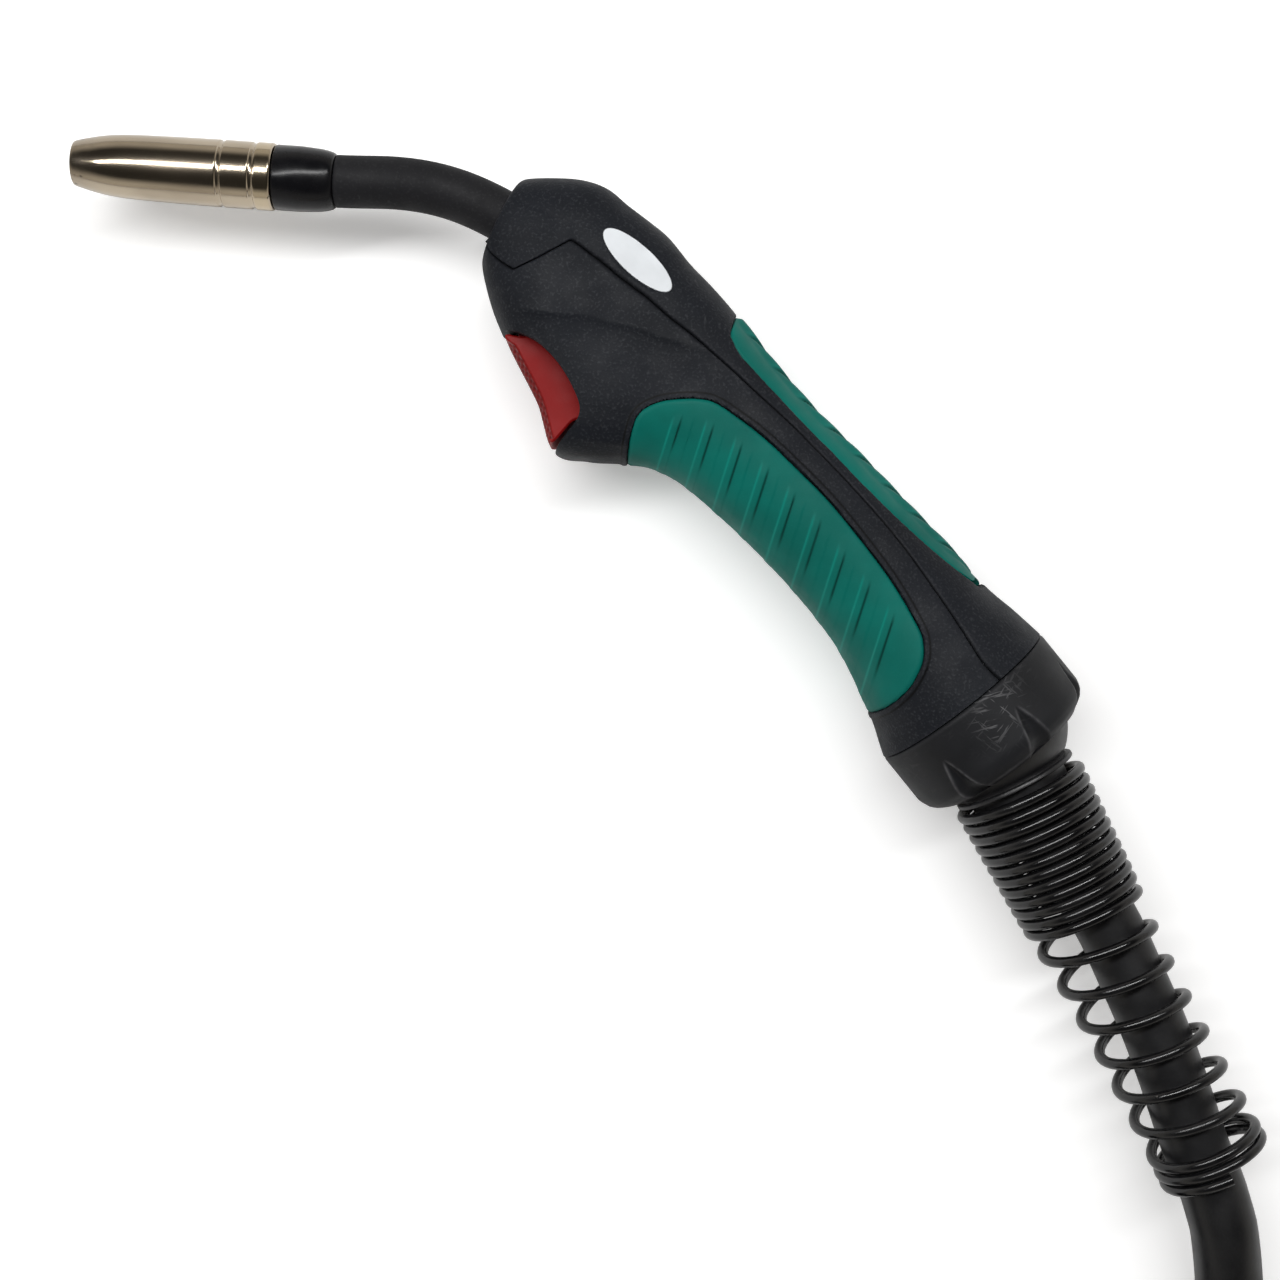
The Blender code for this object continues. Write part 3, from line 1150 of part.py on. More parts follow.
def empty(name, parent, at):
    holder = bpy.data.objects.new(name, None)
    holder.empty_display_size = 0.01
    parts.objects.link(holder)
    holder.location = at
    bpy.context.view_layer.update()
    if parent is not None:
        holder.parent = parent
        holder.matrix_parent_inverse = parent.matrix_world.inverted()
        bpy.context.view_layer.update()
    return holder


for old in list(bpy.data.objects):
    bpy.data.objects.remove(old)
parts = bpy.data.collections.new("mig_torch")
guides = bpy.data.collections.new("cutters")
bpy.context.scene.collection.children.link(parts)
bpy.context.scene.collection.children.link(guides)

lead = empty("lead_frame", None, world(*BALL))
support = empty("support_swivel_frame", lead, world(*BALL))
seat_ring = empty("seat_frame", lead, world(*BALL))
handle = empty("handle_frame", seat_ring, world(*BALL))
collar = empty("collar_frame", handle, world(*BALL))
nozzle = empty("nozzle_frame", handle, world(NOZZLE_BACK - NOZZLE_LENGTH, 0.0))
trigger = empty("trigger_frame", handle, world(*TRIGGER_PIVOT))
plunger = empty("plunger_frame", handle, world(*PLUNGER_AT))
union = empty("nut_frame", lead, above_ground(*PLUG_REAR))
pin_near = empty("pin_near_frame", lead, above_ground(*PLUG_REAR))
pin_far = empty("pin_far_frame", lead, above_ground(*PLUG_REAR))

sleeve_from = nozzle_end()
bore_of_neck = neck(sleeve_from)
_, lower_half = shells(bore_of_neck)
torch_cable()
trigger_set(lower_half)
collar_piece()
ball_set()
support_set()
lead_set()
plug_set()

for shaped in parts.objects:
    if shaped.type == "MESH":
        shaped.data.shade_smooth()
        shaped.data.set_sharp_from_angle(angle=math.radians(35))
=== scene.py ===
"""The looks of the MIG welding torch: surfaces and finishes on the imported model, a pale floor, soft light and the
camera.

Shapes are written in millimetres in the torch plane, as the part's own source has them: x runs back along the
nozzle's axis from its mouth, y points away from the trigger, and z is the height above the plane of symmetry.
"""

import math

import bpy
import numpy as np
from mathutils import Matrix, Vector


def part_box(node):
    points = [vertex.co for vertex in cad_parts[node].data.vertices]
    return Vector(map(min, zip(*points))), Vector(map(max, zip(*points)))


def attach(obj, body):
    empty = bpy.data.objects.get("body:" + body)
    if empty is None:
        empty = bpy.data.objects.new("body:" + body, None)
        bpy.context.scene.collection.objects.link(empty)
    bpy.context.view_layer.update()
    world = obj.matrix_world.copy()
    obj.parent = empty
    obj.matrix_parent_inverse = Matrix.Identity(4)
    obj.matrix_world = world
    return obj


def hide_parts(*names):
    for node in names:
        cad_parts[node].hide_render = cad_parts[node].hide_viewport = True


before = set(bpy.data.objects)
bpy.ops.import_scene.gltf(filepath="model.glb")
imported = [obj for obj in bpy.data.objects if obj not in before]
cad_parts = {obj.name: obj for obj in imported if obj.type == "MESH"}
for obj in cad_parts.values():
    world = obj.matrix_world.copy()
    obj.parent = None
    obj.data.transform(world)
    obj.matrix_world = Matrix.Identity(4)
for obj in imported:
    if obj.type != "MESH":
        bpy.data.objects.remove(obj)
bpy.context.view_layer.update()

MM = 0.001
MIDDLE = np.array([165.84, -121.11, -26.2])  # the part's origin, in the torch plane
GROUND = -26.2  # z of the floor
UP = np.array([0.0, 0.0, 1.0])
BACK = np.array([1.0, 0.0, 0.0])  # along the nozzle's axis, from its mouth
TILT = math.radians(4.07)  # turn of the photograph about the line of sight
PIXEL = 0.265  # millimetres to a pixel of the photograph, at the plane of symmetry
SIGHT = 490.0  # height of the camera over the plane of symmetry
COATS = {}


# ---- curves and surfaces ----


def metres(points):
    """Torch-plane millimetres as metres in the part's frame: take off the origin, then scale."""
    return (np.asarray(points, float) - MIDDLE) * MM


def down(degrees):
    """The unit vector in the torch plane that points back and down from the nozzle's axis by an angle."""
    a = math.radians(degrees)
    return np.array([math.cos(a), -math.sin(a), 0.0])


def seen(points):
    """Where points show in the photograph, in pixels: the torch plane turned and scaled, and spread with height."""
    x, y, z = points[..., 0], points[..., 1], points[..., 2]
    u = 76.0 + (x * math.cos(TILT) + y * math.sin(TILT)) / PIXEL
    v = 163.0 - (y * math.cos(TILT) - x * math.sin(TILT)) / PIXEL
    nearer = SIGHT / (SIGHT - z)
    return 640.0 + (u - 640.0) * nearer, 640.0 + (v - 640.0) * nearer


def step_up(x, low, high):
    """A smooth step: 0 below low, 1 above high, and 3u^2 - 2u^3 between them."""
    u = np.clip((x - low) / (high - low), 0.0, 1.0)
    return u * u * (3.0 - 2.0 * u)


def span(x, a, b, c, d):
    """1 from b to c, 0 below a and above d, and a smooth step between them."""
    return step_up(x, a, b) * step_up(-x, -d, -c)


def hump(x, width):
    """A smooth hump: exp(-(x / width)^2)."""
    return np.exp(-((x / width) ** 2))


def read_off(table, x):
    """The second column of a table where its first is x, straight between its rows."""
    return np.interp(x, table[:, 0], table[:, 1])


def through_rows(table, t):
    """Rows of a table at places t, on the cubic that passes each row with the slope between its neighbours."""
    t = np.asarray(t, float)
    k = np.clip(np.floor(t).astype(int), 0, len(table) - 2)
    f = (t - k)[..., None]
    a, b = table[np.maximum(k - 1, 0)], table[k]
    c, d = table[k + 1], table[np.minimum(k + 2, len(table) - 1)]
    return b + 0.5 * f * ((c - a) + f * ((2 * a - 5 * b + 4 * c - d) + f * (3 * (b - c) + d - a)))


def smoothed(table, fine):
    """A table filled in along the smooth curve through its rows, with so many places for each row."""
    table = np.asarray(table, float)
    return through_rows(table, np.linspace(0, len(table) - 1, fine * len(table)))


def distances(line):
    """How far along a line of points each of them is: the sum of the steps up to it."""
    return np.concatenate([[0.0], np.cumsum(np.linalg.norm(np.diff(line, axis=0), axis=1))])


def placed(line, at):
    """Points at given distances along a line of points."""
    along = distances(line)
    return np.stack([np.interp(at, along, each) for each in line.T], axis=-1)


def evenly(points, step):
    """Points a step apart along the smooth curve through a few given points, ends included."""
    fine = smoothed(points, 40)
    whole = length_of(fine)
    return placed(fine, np.linspace(0, whole, max(3, int(round(whole / step)) + 1)))


def length_of(line):
    """The length of a line of points: the sum of its steps."""
    return float(distances(line)[-1])


def outline_out(line):
    """Unit normals of a closed outline in its plane, away from its inside: at each point the way from the point
    before it to the point after it, turned by 90 degrees."""
    forward = np.roll(line, -1, axis=0) - np.roll(line, 1, axis=0)
    out = np.stack([forward[:, 1], -forward[:, 0]], axis=-1) / np.linalg.norm(forward, axis=1)[:, None]
    return out * np.sign(np.cross(line, np.roll(line, -1, axis=0)).sum())


def eased(corners, radius, points=5, closed=False):
    """A line with its corners rounded: each corner becomes a parabola between two points a radius away from it, or
    at most 45 hundredths of the way to its neighbour."""
    corners = [np.asarray(c, float) for c in corners]
    if closed:
        corners = [corners[-1], *corners, corners[0]]
    out = [] if closed else [corners[0]]
    f = np.linspace(0, 1, points)[:, None]
    for a, b, c in zip(corners, corners[1:], corners[2:]):
        near, far = np.linalg.norm(a - b), np.linalg.norm(c - b)
        p = b + (a - b) * min(radius / near, 0.45)
        q = b + (c - b) * min(radius / far, 0.45)
        out += list(p * (1 - f) ** 2 + 2 * b * f * (1 - f) + q * f**2)
    return np.array(out if closed else out + [corners[-1]])


def woven(rows, cols, round_rows=False, round_cols=False, first=0):
    """The four-sided faces of a grid of rows and columns, closed on itself either way if asked."""
    r = np.arange(rows if round_rows else rows - 1)[:, None]
    c = np.arange(cols if round_cols else cols - 1)[None, :]
    r2, c2 = (r + 1) % rows, (c + 1) % cols
    quads = np.stack([r * cols + c, r * cols + c2, r2 * cols + c2, r2 * cols + c], axis=-1)
    return quads.reshape(-1, 4) + first


def piece(name, points, quads, rims, coat, body, stands_for=(), sharp=38.0, marks=None):
    """One closed surface as an object on its body, turned outwards by the sign of its volume, the sum of its
    triangles' triple products. It is smooth but for corners sharper than an angle. marks are values by name."""
    points = metres(points.reshape(-1, 3))
    rims = [[int(k) for k in rim][::-1 if first else 1] for rim, first in zip(rims, (True, False))]
    tris = [quads[:, (0, 1, 2)], quads[:, (0, 2, 3)]]
    for rim in rims:
        tris.append(np.array([(rim[0], b, c) for b, c in zip(rim[1:], rim[2:])]))
    a, b, c = ((points - points.mean(axis=0))[np.concatenate(tris)[:, k]] for k in range(3))
    faces = quads.tolist() + rims
    if np.einsum("ij,ij->", a, np.cross(b, c)) < 0:
        faces = [f[::-1] for f in faces]
    data = bpy.data.meshes.new(name)
    data.from_pydata(points.tolist(), [], faces)
    for mark, values in (marks or {}).items():
        data.attributes.new(mark, "FLOAT", "POINT").data.foreach_set("value", values.ravel().astype(np.float32))
    return settle(bpy.data.objects.new(name, data), coat, body, stands_for, sharp)


def settle(obj, coat, body, stands_for=(), sharp=38.0):
    """Give a new object its finish and its body, and let it stand for CAD nodes."""
    bpy.context.scene.collection.objects.link(obj)
    obj.data.materials.clear()
    obj.data.materials.append(COATS[coat])
    obj.data.shade_smooth()
    obj.data.set_sharp_from_angle(angle=math.radians(sharp))
    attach(obj, body)
    if stands_for:
        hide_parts(*stands_for)
    return obj


def rolled(name, points, coat, body, stands_for=(), solid=True, **more):
    """A grid of points that closes on itself along its rows. If solid, its first and last row each get a flat face,
    and otherwise its last row joins its first."""
    rows, cols = points.shape[:2]
    rims = [range(cols), range((rows - 1) * cols, rows * cols)] if solid else []
    return piece(name, points, woven(rows, cols, not solid, True), rims, coat, body, stands_for, **more)


def turned(name, profile, at, axis, steps, coat, body, stands_for, relief=None, solid=False, **more):
    """A turned piece: a profile of (distance along, radius) carried round an axis, closed on itself unless solid.
    The radius may gain a relief, a function of distance and angle, where the angle runs from straight up."""
    profile = np.asarray(profile, float)
    s, r = profile[:, :1], profile[:, 1:]
    angle = np.linspace(0, 2 * math.pi, steps, endpoint=False)[None, :]
    if relief is not None:
        r = relief(s, r, angle)
    across = np.cos(angle)[..., None] * UP + np.sin(angle)[..., None] * np.cross(UP, axis)
    points = np.asarray(at, float) + s[..., None] * axis + np.broadcast_to(r, (len(s), steps))[..., None] * across
    return rolled(name, points, coat, body, stands_for, solid, **more)


def bar(name, path, radius, up, around, coat, body, stands_for, **more):
    """A round bar: at each point of a path a ring of its radius, square to the path, and a flat end either way."""
    path = np.asarray(path, float)
    along = np.gradient(path, axis=0)
    along /= np.linalg.norm(along, axis=1, keepdims=True)
    side = np.cross(along, up)
    side /= np.linalg.norm(side, axis=1, keepdims=True)
    a = np.linspace(0, 2 * math.pi, around, endpoint=False)[None, :, None]
    ring = np.cos(a) * side[:, None] + np.sin(a) * np.cross(side, along)[:, None]
    points = path[:, None] + np.broadcast_to(radius, (len(path),))[:, None, None] * ring
    return rolled(name, points, coat, body, stands_for, **more)


def levelled(flat, level):
    """Rows of places in the torch plane, each row at its own height."""
    return np.concatenate([flat, np.broadcast_to(level.reshape(-1, 1, 1), flat.shape[:2] + (1,))], axis=-1)


def slab(name, outline, half, edge, coat, body):
    """A flat piece: a closed outline carried over a thickness, drawn in at both faces by a quarter circle."""
    a = np.radians([90, 70, 50, 30, 10, 0])
    drawn = np.concatenate([edge * (1 - np.cos(a)), edge * (1 - np.cos(a[::-1]))])
    level = np.concatenate([half - edge + edge * np.sin(a), -half + edge - edge * np.sin(a[::-1])])
    return rolled(name, levelled(outline - drawn[:, None, None] * outline_out(outline), level), coat, body)


# ---- finishes ----


class Finish:
    """A material being mixed from patterns, all laid on the object's own coordinates in metres. Each method adds a
    node and gives back what it puts out, except feed and done, which link or set the inputs."""

    def __init__(self, name, metal=0.0, **constants):
        self.material = bpy.data.materials.new(name)
        self.material.use_nodes = True
        self.tree = self.material.node_tree
        self.shader = self.tree.nodes["Principled BSDF"]
        self.shader.inputs["Metallic"].default_value = metal
        for socket, value in constants.items():
            self.shader.inputs[socket.replace("_", " ")].default_value = value
        self.place = self.node("ShaderNodeTexCoord").outputs["Object"]
        COATS[name] = self.material

    def node(self, kind, **settings):
        made = self.tree.nodes.new(kind)
        for setting, value in settings.items():
            setattr(made, setting, value)
        return made

    def feed(self, socket, value):
        if isinstance(value, bpy.types.NodeSocket):
            self.tree.links.new(value, socket)
        else:
            socket.default_value = value

    def calc(self, operation, *values):
        made = self.node("ShaderNodeMath", operation=operation)
        for socket, value in zip(made.inputs, values):
            self.feed(socket, value)
        return made.outputs[0]

    def times(self, first, second):
        return self.calc("MULTIPLY", first, second)

    def moved(self, scale, turn=(0.0, 0.0, 0.0), kind="POINT"):
        made = self.node("ShaderNodeMapping", vector_type=kind)
        self.feed(made.inputs["Vector"], self.place)
        made.inputs["Scale"].default_value = scale
        made.inputs["Rotation"].default_value = turn
        return made.outputs[0]

    def noise(self, scale, detail=3.0, vector=None):
        made = self.node("ShaderNodeTexNoise")
        self.feed(made.inputs["Vector"], self.place if vector is None else vector)
        made.inputs["Scale"].default_value = scale
        made.inputs["Detail"].default_value = detail
        return made.outputs["Fac"]

    def spots(self, scale):
        made = self.node("ShaderNodeTexVoronoi")
        self.feed(made.inputs["Vector"], self.place)
        made.inputs["Scale"].default_value = scale
        return made.outputs["Distance"]

    def mark(self, name):
        return self.node("ShaderNodeAttribute", attribute_name=name).outputs["Fac"]

    def part_of(self, axis):
        made = self.node("ShaderNodeSeparateXYZ")
        self.feed(made.inputs[0], self.place)
        return made.outputs[axis]

    def between(self, value, low, high, first=0.0, last=1.0):
        made = self.node("ShaderNodeMapRange", interpolation_type="SMOOTHSTEP")
        for socket, each in zip(made.inputs, (value, low, high, first, last)):
            self.feed(socket, each)
        return made.outputs[0]

    def mixed(self, share, first, second):
        made = self.node("ShaderNodeMix", data_type="RGBA")
        for place, value in ((0, share), (6, first), (7, second)):
            self.feed(made.inputs[place], (*value, 1.0) if isinstance(value, tuple) else value)
        return made.outputs[2]

    def relief(self, height, strength, deep, under=None):
        made = self.node("ShaderNodeBump")
        made.inputs["Strength"].default_value = strength
        made.inputs["Distance"].default_value = deep
        self.feed(made.inputs["Height"], height)
        if under is not None:
            self.feed(made.inputs["Normal"], under)
        return made.outputs[0]

    def done(self, colour, rough, normal):
        for socket, value in (("Base Color", colour), ("Roughness", rough), ("Normal", normal)):
            self.feed(self.shader.inputs[socket], value)


def shade(colour, factor):
    """A colour made lighter or darker by a factor."""
    return tuple(min(1.0, c * factor) for c in colour)


def moulded(name, colour, rough, grain=2600.0, depth=0.00006, strength=0.5, dust=0.12, scuff=0.0, lines=False,
             **constants):
    """Moulded plastic or rubber: a fine spark-eroded grain, slow changes of tone, faint dust and light scuffs. With
    lines it also paints light and shade from a piece's marks: a painted highlight on crests, painted shade in gaps,
    and a line of painted shade in the groove 1.35 to 2.1 mm off the insert."""
    f = Finish(name, **constants)
    cloud = f.noise(45.0, 4.0)
    tone = f.mixed(f.between(cloud, 0.3, 0.7), shade(colour, 0.86), shade(colour, 1.16))
    fine = f.noise(grain, 2.0)
    tone = f.mixed(f.between(fine, 0.5, 0.75, 0.0, dust), tone, shade(tuple(c + 0.02 for c in colour), 2.2))
    if scuff:
        streak = f.noise(420.0, 3.0, f.moved((1.0, 0.06, 1.0), (0.0, 0.0, 0.82)))
        patch = f.between(f.noise(38.0), 0.5, 0.62, 0.0, scuff)
        scuffs = f.times(f.between(streak, 0.66, 0.74), patch)
        tone = f.mixed(scuffs, tone, shade(tuple(c + 0.03 for c in colour), 2.0))
    if lines:
        # painted highlight where the crest mark says a crest catches the light
        tone = f.mixed(f.times(f.mark("crest_highlight"), 0.75), tone, shade(colour, 1.9))
        # painted shade in the seams, gaps, rib steps and knurl that the gap mark covers
        tone = f.mixed(f.times(f.mark("gap"), 0.9), tone, shade(colour, 0.12))
        # painted shade in the groove 1.35 to 2.1 mm off the insert
        off = f.mark("off_insert")
        groove = f.times(f.between(off, 1.35, 1.6, 0.0, 0.92), f.between(off, 1.85, 2.1, 1.0, 0.0))
        tone = f.mixed(groove, tone, shade(colour, 0.12))
    worn = f.calc("ADD", f.between(f.noise(120.0, 5.0), 0.3, 0.7, -0.07, 0.07), rough)
    f.done(tone, worn, f.relief(fine, strength, depth))


def machined(name, colour, rough, stretch, tarnish):
    """Turned metal: fine tool marks drawn out along one way, with tarnish that darkens it and dulls it in clouds."""
    f = Finish(name, metal=1.0)
    lines = f.noise(1500.0, 3.0, f.moved(stretch))
    cloud = f.noise(95.0, 6.0)
    tone = f.mixed(f.between(cloud, 0.42, 0.72, 0.0, 0.8), colour, tarnish)
    tone = f.mixed(f.between(lines, 0.35, 0.75, 0.0, 0.25), tone, shade(colour, 0.6))
    gloss = f.calc("ADD", f.between(cloud, 0.35, 0.75, 0.0, 0.22), rough)
    f.done(tone, gloss, f.relief(lines, 0.35, 0.00004))


moulded("shell_black", (0.0056, 0.0070, 0.0104), 0.58, 1500.0, 0.00012, 0.9, 0.28, 0.3, True, Specular_IOR_Level=0.17)
moulded("neck_black", (0.0088, 0.0088, 0.0105), 0.66, grain=1500.0, scuff=0.2, Specular_IOR_Level=0.2)
moulded("cable_black", (0.0060, 0.0060, 0.0068), 0.42, grain=1300.0, depth=0.00004, strength=0.35, dust=0.05)
moulded("gloss_black", (0.004, 0.004, 0.005), 0.26, grain=900.0, depth=0.00001, strength=0.15, dust=0.03,
         Specular_IOR_Level=0.22)
moulded("green", (0.0004, 0.122, 0.098), 0.58, grain=2200.0, strength=0.25, dust=0.03, lines=True,
         Specular_IOR_Level=0.12)
moulded("red", (0.25, 0.0055, 0.0055), 0.46, grain=1800.0, dust=0.02, lines=True, Specular_IOR_Level=0.12)
moulded("white", (0.70, 0.73, 0.76), 0.42, grain=1500.0, depth=0.00002, dust=0.0, lines=True)
moulded("nylon", (0.55, 0.52, 0.45), 0.5, dust=0.0)
moulded("lead_blue", (0.02, 0.08, 0.4), 0.5, grain=900.0, dust=0.05)
machined("copper", (0.72, 0.34, 0.2), 0.34, (0.05, 1.0, 1.0), (0.33, 0.14, 0.09))
machined("brass", (0.72, 0.53, 0.25), 0.32, (0.05, 1.0, 1.0), (0.38, 0.26, 0.13))
machined("steel", (0.45, 0.45, 0.46), 0.33, (1.0, 1.0, 0.05), (0.28, 0.27, 0.26))


def lacquered_wire():
    """Spring wire in black lacquer: glossy, a little cloudy, with small bare nicks."""
    f = Finish("spring_black")
    cloud = f.noise(160.0, 4.0)
    nick = f.between(f.noise(520.0, 2.0), 0.74, 0.78, 0.0, 0.7)
    tone = f.mixed(f.between(cloud, 0.3, 0.7), (0.0028, 0.0028, 0.0032), (0.0065, 0.0065, 0.0072))
    tone = f.mixed(nick, tone, (0.11, 0.105, 0.10))
    f.done(tone, f.between(cloud, 0.3, 0.7, 0.15, 0.27), f.relief(cloud, 0.15, 0.00005))


def nozzle_metal():
    """The nozzle's plated copper: warm nickel with drawn-out tarnish, a brassy band at its back end, a heat-dulled
    mouth, and dark flecks of spatter that thin out backwards."""
    f = Finish("nickel", metal=1.0)
    x = f.part_of(0)
    lines = f.noise(1700.0, 3.0, f.moved((1.0, 0.12, 0.12)))
    streak = f.noise(70.0, 6.0, f.moved((0.55, 1.6, 1.6)))
    tone = f.mixed(f.between(streak, 0.38, 0.68, 0.0, 0.75), (0.47, 0.40, 0.305), (0.36, 0.30, 0.225))
    band = f.times(f.between(x, -0.1174, -0.1168), f.between(x, -0.1136, -0.1131, 1.0, 0.0))
    tone = f.mixed(f.times(band, 0.4), tone, (0.56, 0.46, 0.30))
    heat = f.between(x, -0.166, -0.156, 0.45, 0.0)
    tone = f.mixed(heat, tone, (0.24, 0.20, 0.16))
    fleck = f.between(f.spots(420.0), 0.12, 0.22, 1.0, 0.0)
    few = f.times(fleck, f.between(x, -0.1645, -0.158, 0.7, 0.0))
    tone = f.mixed(few, tone, (0.05, 0.042, 0.035))
    gloss = f.calc("ADD", f.between(streak, 0.3, 0.75, 0.0, 0.10), f.times(heat, 0.15))
    gloss = f.calc("ADD", gloss, 0.12)
    f.done(tone, gloss, f.relief(few, 0.3, 0.0001, f.relief(lines, 0.12, 0.00002)))


def webbing():
    """Hook-and-loop strap: rows of small woven loops, matt and a little fuzzy."""
    f = Finish("strap", Sheen_Weight=0.4)
    knots = f.spots(900.0)
    tone = f.mixed(f.between(knots, 0.1, 0.6), (0.030, 0.030, 0.034), (0.009, 0.009, 0.010))
    f.done(tone, f.between(f.noise(300.0), 0.3, 0.7, 0.82, 0.98), f.relief(knots, 0.9, -0.0003))


def worn_rubber():
    """The collar: matt rubber-like plastic, with paler edges round its finger recesses, partly wear and partly painted
    highlight, fine scratches in three ways all over, and a patch where they are strong."""
    f = Finish("collar_black", Specular_IOR_Level=0.28)
    fine = f.noise(2300.0, 2.0)
    cloud = f.noise(60.0, 4.0)
    tone = f.mixed(f.between(cloud, 0.3, 0.7), (0.0052, 0.0057, 0.0072), (0.0084, 0.0090, 0.0112))
    # rim mark: paler recess and back edges, partly wear and partly painted highlight
    edge = f.times(f.mark("rim"), f.between(f.noise(200.0, 4.0), 0.3, 0.6, 0.25, 1.0))
    tone = f.mixed(f.times(edge, 0.9), tone, (0.075, 0.075, 0.08))
    scratches = 0.0
    for turn in (0.96, -0.52, -1.22):
        lines = f.noise(1300.0, 2.0, f.moved((1.0, 9.0, 3.0), (0.0, 0.0, turn), "TEXTURE"))
        scratches = f.calc("MAXIMUM", scratches, f.between(lines, 0.61, 0.68))
    patch = f.between(f.noise(55.0), 0.48, 0.62, 0.0, 0.2)
    tone = f.mixed(f.times(scratches, patch), tone, (0.04, 0.04, 0.043))
    tone = f.mixed(f.times(scratches, f.mark("rub")), tone, (0.11, 0.11, 0.115))
    f.done(tone, f.between(cloud, 0.3, 0.7, 0.5, 0.66), f.relief(fine, 0.45, 0.00005))


lacquered_wire()
nozzle_metal()
webbing()
worn_rubber()

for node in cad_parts.values():
    for slot in node.material_slots:
        kind = slot.material.name.split(".")[0]
        slot.material = COATS[kind]


# ---- camera, light and floor ----


def ranged(tree, value, numbers):
    """A node that maps a value straight from one range to another. The numbers are low, high, new low, new high."""
    made = tree.nodes.new("ShaderNodeMapRange")
    for socket, number in zip(list(made.inputs)[1:5], numbers):
        socket.default_value = number
    tree.links.new(value, made.inputs["Value"])
    return made.outputs[0]


def camera_and_lamps():
    """A camera straight above, a long narrow lamp beyond the top of the picture and a weak broad one at its left."""
    scene = bpy.context.scene
    scene.view_settings.view_transform = "Standard"
    sight = bpy.data.cameras.new("camera")
    sight.angle = math.radians(38.2)
    sight.clip_start = 0.01
    camera = bpy.data.objects.new("camera", sight)
    camera.location = (-0.00774, 0.00561, 0.5162)
    camera.rotation_euler = (0.0, 0.0, TILT)
    scene.collection.objects.link(camera)
    scene.camera = camera
    for name, place, long, wide, power in (
        ("key", (-0.15, 0.40, 1.25), 1.9, 0.13, 20.0),
        ("fill", (-0.75, -0.1, 1.05), 1.2, 1.2, 1.7),
    ):
        lamp = bpy.data.lights.new(name, "AREA")
        lamp.shape = "RECTANGLE"
        lamp.size, lamp.size_y = long, wide
        lamp.energy = power
        light = bpy.data.objects.new(name, lamp)
        x, y, z = place
        light.location = place
        light.rotation_euler = (math.atan2(math.hypot(x, y), z), 0.0, math.atan2(x, -y))
        light.visible_glossy = name == "key"
        scene.collection.objects.link(light)


def sky():
    """A world that is bright near the horizon and dim overhead."""
    world = bpy.data.worlds.new("sky")
    world.use_nodes = True
    tree = world.node_tree
    background = tree.nodes["Background"].inputs
    background["Color"].default_value = (1.0, 0.955, 0.88, 1.0)
    way = tree.nodes.new("ShaderNodeSeparateXYZ")
    tree.links.new(tree.nodes.new("ShaderNodeTexCoord").outputs["Generated"], way.inputs[0])
    tree.links.new(ranged(tree, way.outputs[2], (0.27, 0.55, 0.60, 0.035)), background["Strength"])
    bpy.context.scene.world = world


def pale_floor():
    """A pale matt floor that glows a little, but only to the camera."""
    pale = bpy.data.materials.new("pale_floor")
    pale.use_nodes = True
    tree = pale.node_tree
    shader = tree.nodes["Principled BSDF"].inputs
    grain = tree.nodes.new("ShaderNodeTexNoise")
    grain.inputs["Scale"].default_value = 6.0
    tree.links.new(ranged(tree, grain.outputs["Fac"], (0.3, 0.7, 0.90, 0.93)), shader["Base Color"])
    shader["Roughness"].default_value = 0.9
    shader["Emission Color"].default_value = (1.0, 1.0, 1.0, 1.0)
    glow = tree.nodes.new("ShaderNodeMath")
    glow.operation = "MULTIPLY"
    glow.inputs[1].default_value = 0.3
    tree.links.new(tree.nodes.new("ShaderNodeLightPath").outputs["Is Camera Ray"], glow.inputs[0])
    tree.links.new(glow.outputs[0], shader["Emission Strength"])
    data = bpy.data.meshes.new("floor")
    data.from_pydata([(-4, -4, 0), (4, -4, 0), (4, 4, 0), (-4, 4, 0)], [], [(0, 1, 2, 3)])
    data.materials.append(pale)
    floor = bpy.data.objects.new("floor", data)
    bpy.context.scene.collection.objects.link(floor)


camera_and_lamps()
sky()
pale_floor()


# ---- the lead and what is on it ----

BALL = np.array([251.4, -131.9, 0.0])  # centre of the ball in the handle's end
SUPPORT = down(58.33)  # the way the ball joint and its spring point
BESIDE = down(58.33 - 90.0)
CABLE = 8.75  # radius
# The cable in the spring as (distance from the ball, how far it sags aside), then its middle line over the floor.
LEAN = ((12.0, 0.0), (22.0, 0.0), (32.0, 0.4), (45.0, 2.3), (60.0, 4.1), (75.0, 3.5), (90.0, 2.5), (105.0, 0.6))
LEAN += ((119.0, -1.7), (126.5, -2.7))
FREE = ((319.2, -248.3, 26.2), (321.75, -254.8, 26.2), (323.9, -261.4, 26.0), (327.3, -277.0, 22.6))
FREE += ((329.7, -295.0, 18.2), (332.5, -312.0, 14.4), (334.8, -330.0, 11.6), (336.8, -350.0, 10.5))
FREE += ((338.0, -370.0, 10.4), (338.0, -387.6, 10.4))
COIL = (226.0, -405.4)  # its middle in the torch plane
COIL_TURNS, COIL_RADIUS, COIL_PITCH = 4.25, 112.0, 19.25
LAYERS = (10.4, 28.8)  # heights of the cable's middle over the floor, in the coil's two layers
TAIL = ((208.2, 28.8), (196.0, 28.8), (180.0, 27.8), (160.0, 25.0), (144.0, 23.0), (131.0, 22.5), (108.0, 22.5))
TAIL_Y = -517.4
PLUG = np.array([131.0, TAIL_Y, 22.5 + GROUND])


def coil_line():
    """Four and a quarter turns in two layers: a spiral that runs in, climbs halfway along, and runs out again."""
    n = np.linspace(0, COIL_TURNS, 103)
    half = COIL_TURNS / 2
    r = COIL_RADIUS - COIL_PITCH * (half - np.abs(n - half))
    height = LAYERS[0] + (LAYERS[1] - LAYERS[0]) * step_up(n, half - 0.25, half + 0.25)
    turn = -2 * math.pi * n
    return np.stack([COIL[0] + r * np.cos(turn), COIL[1] + r * np.sin(turn), height + GROUND], axis=-1)


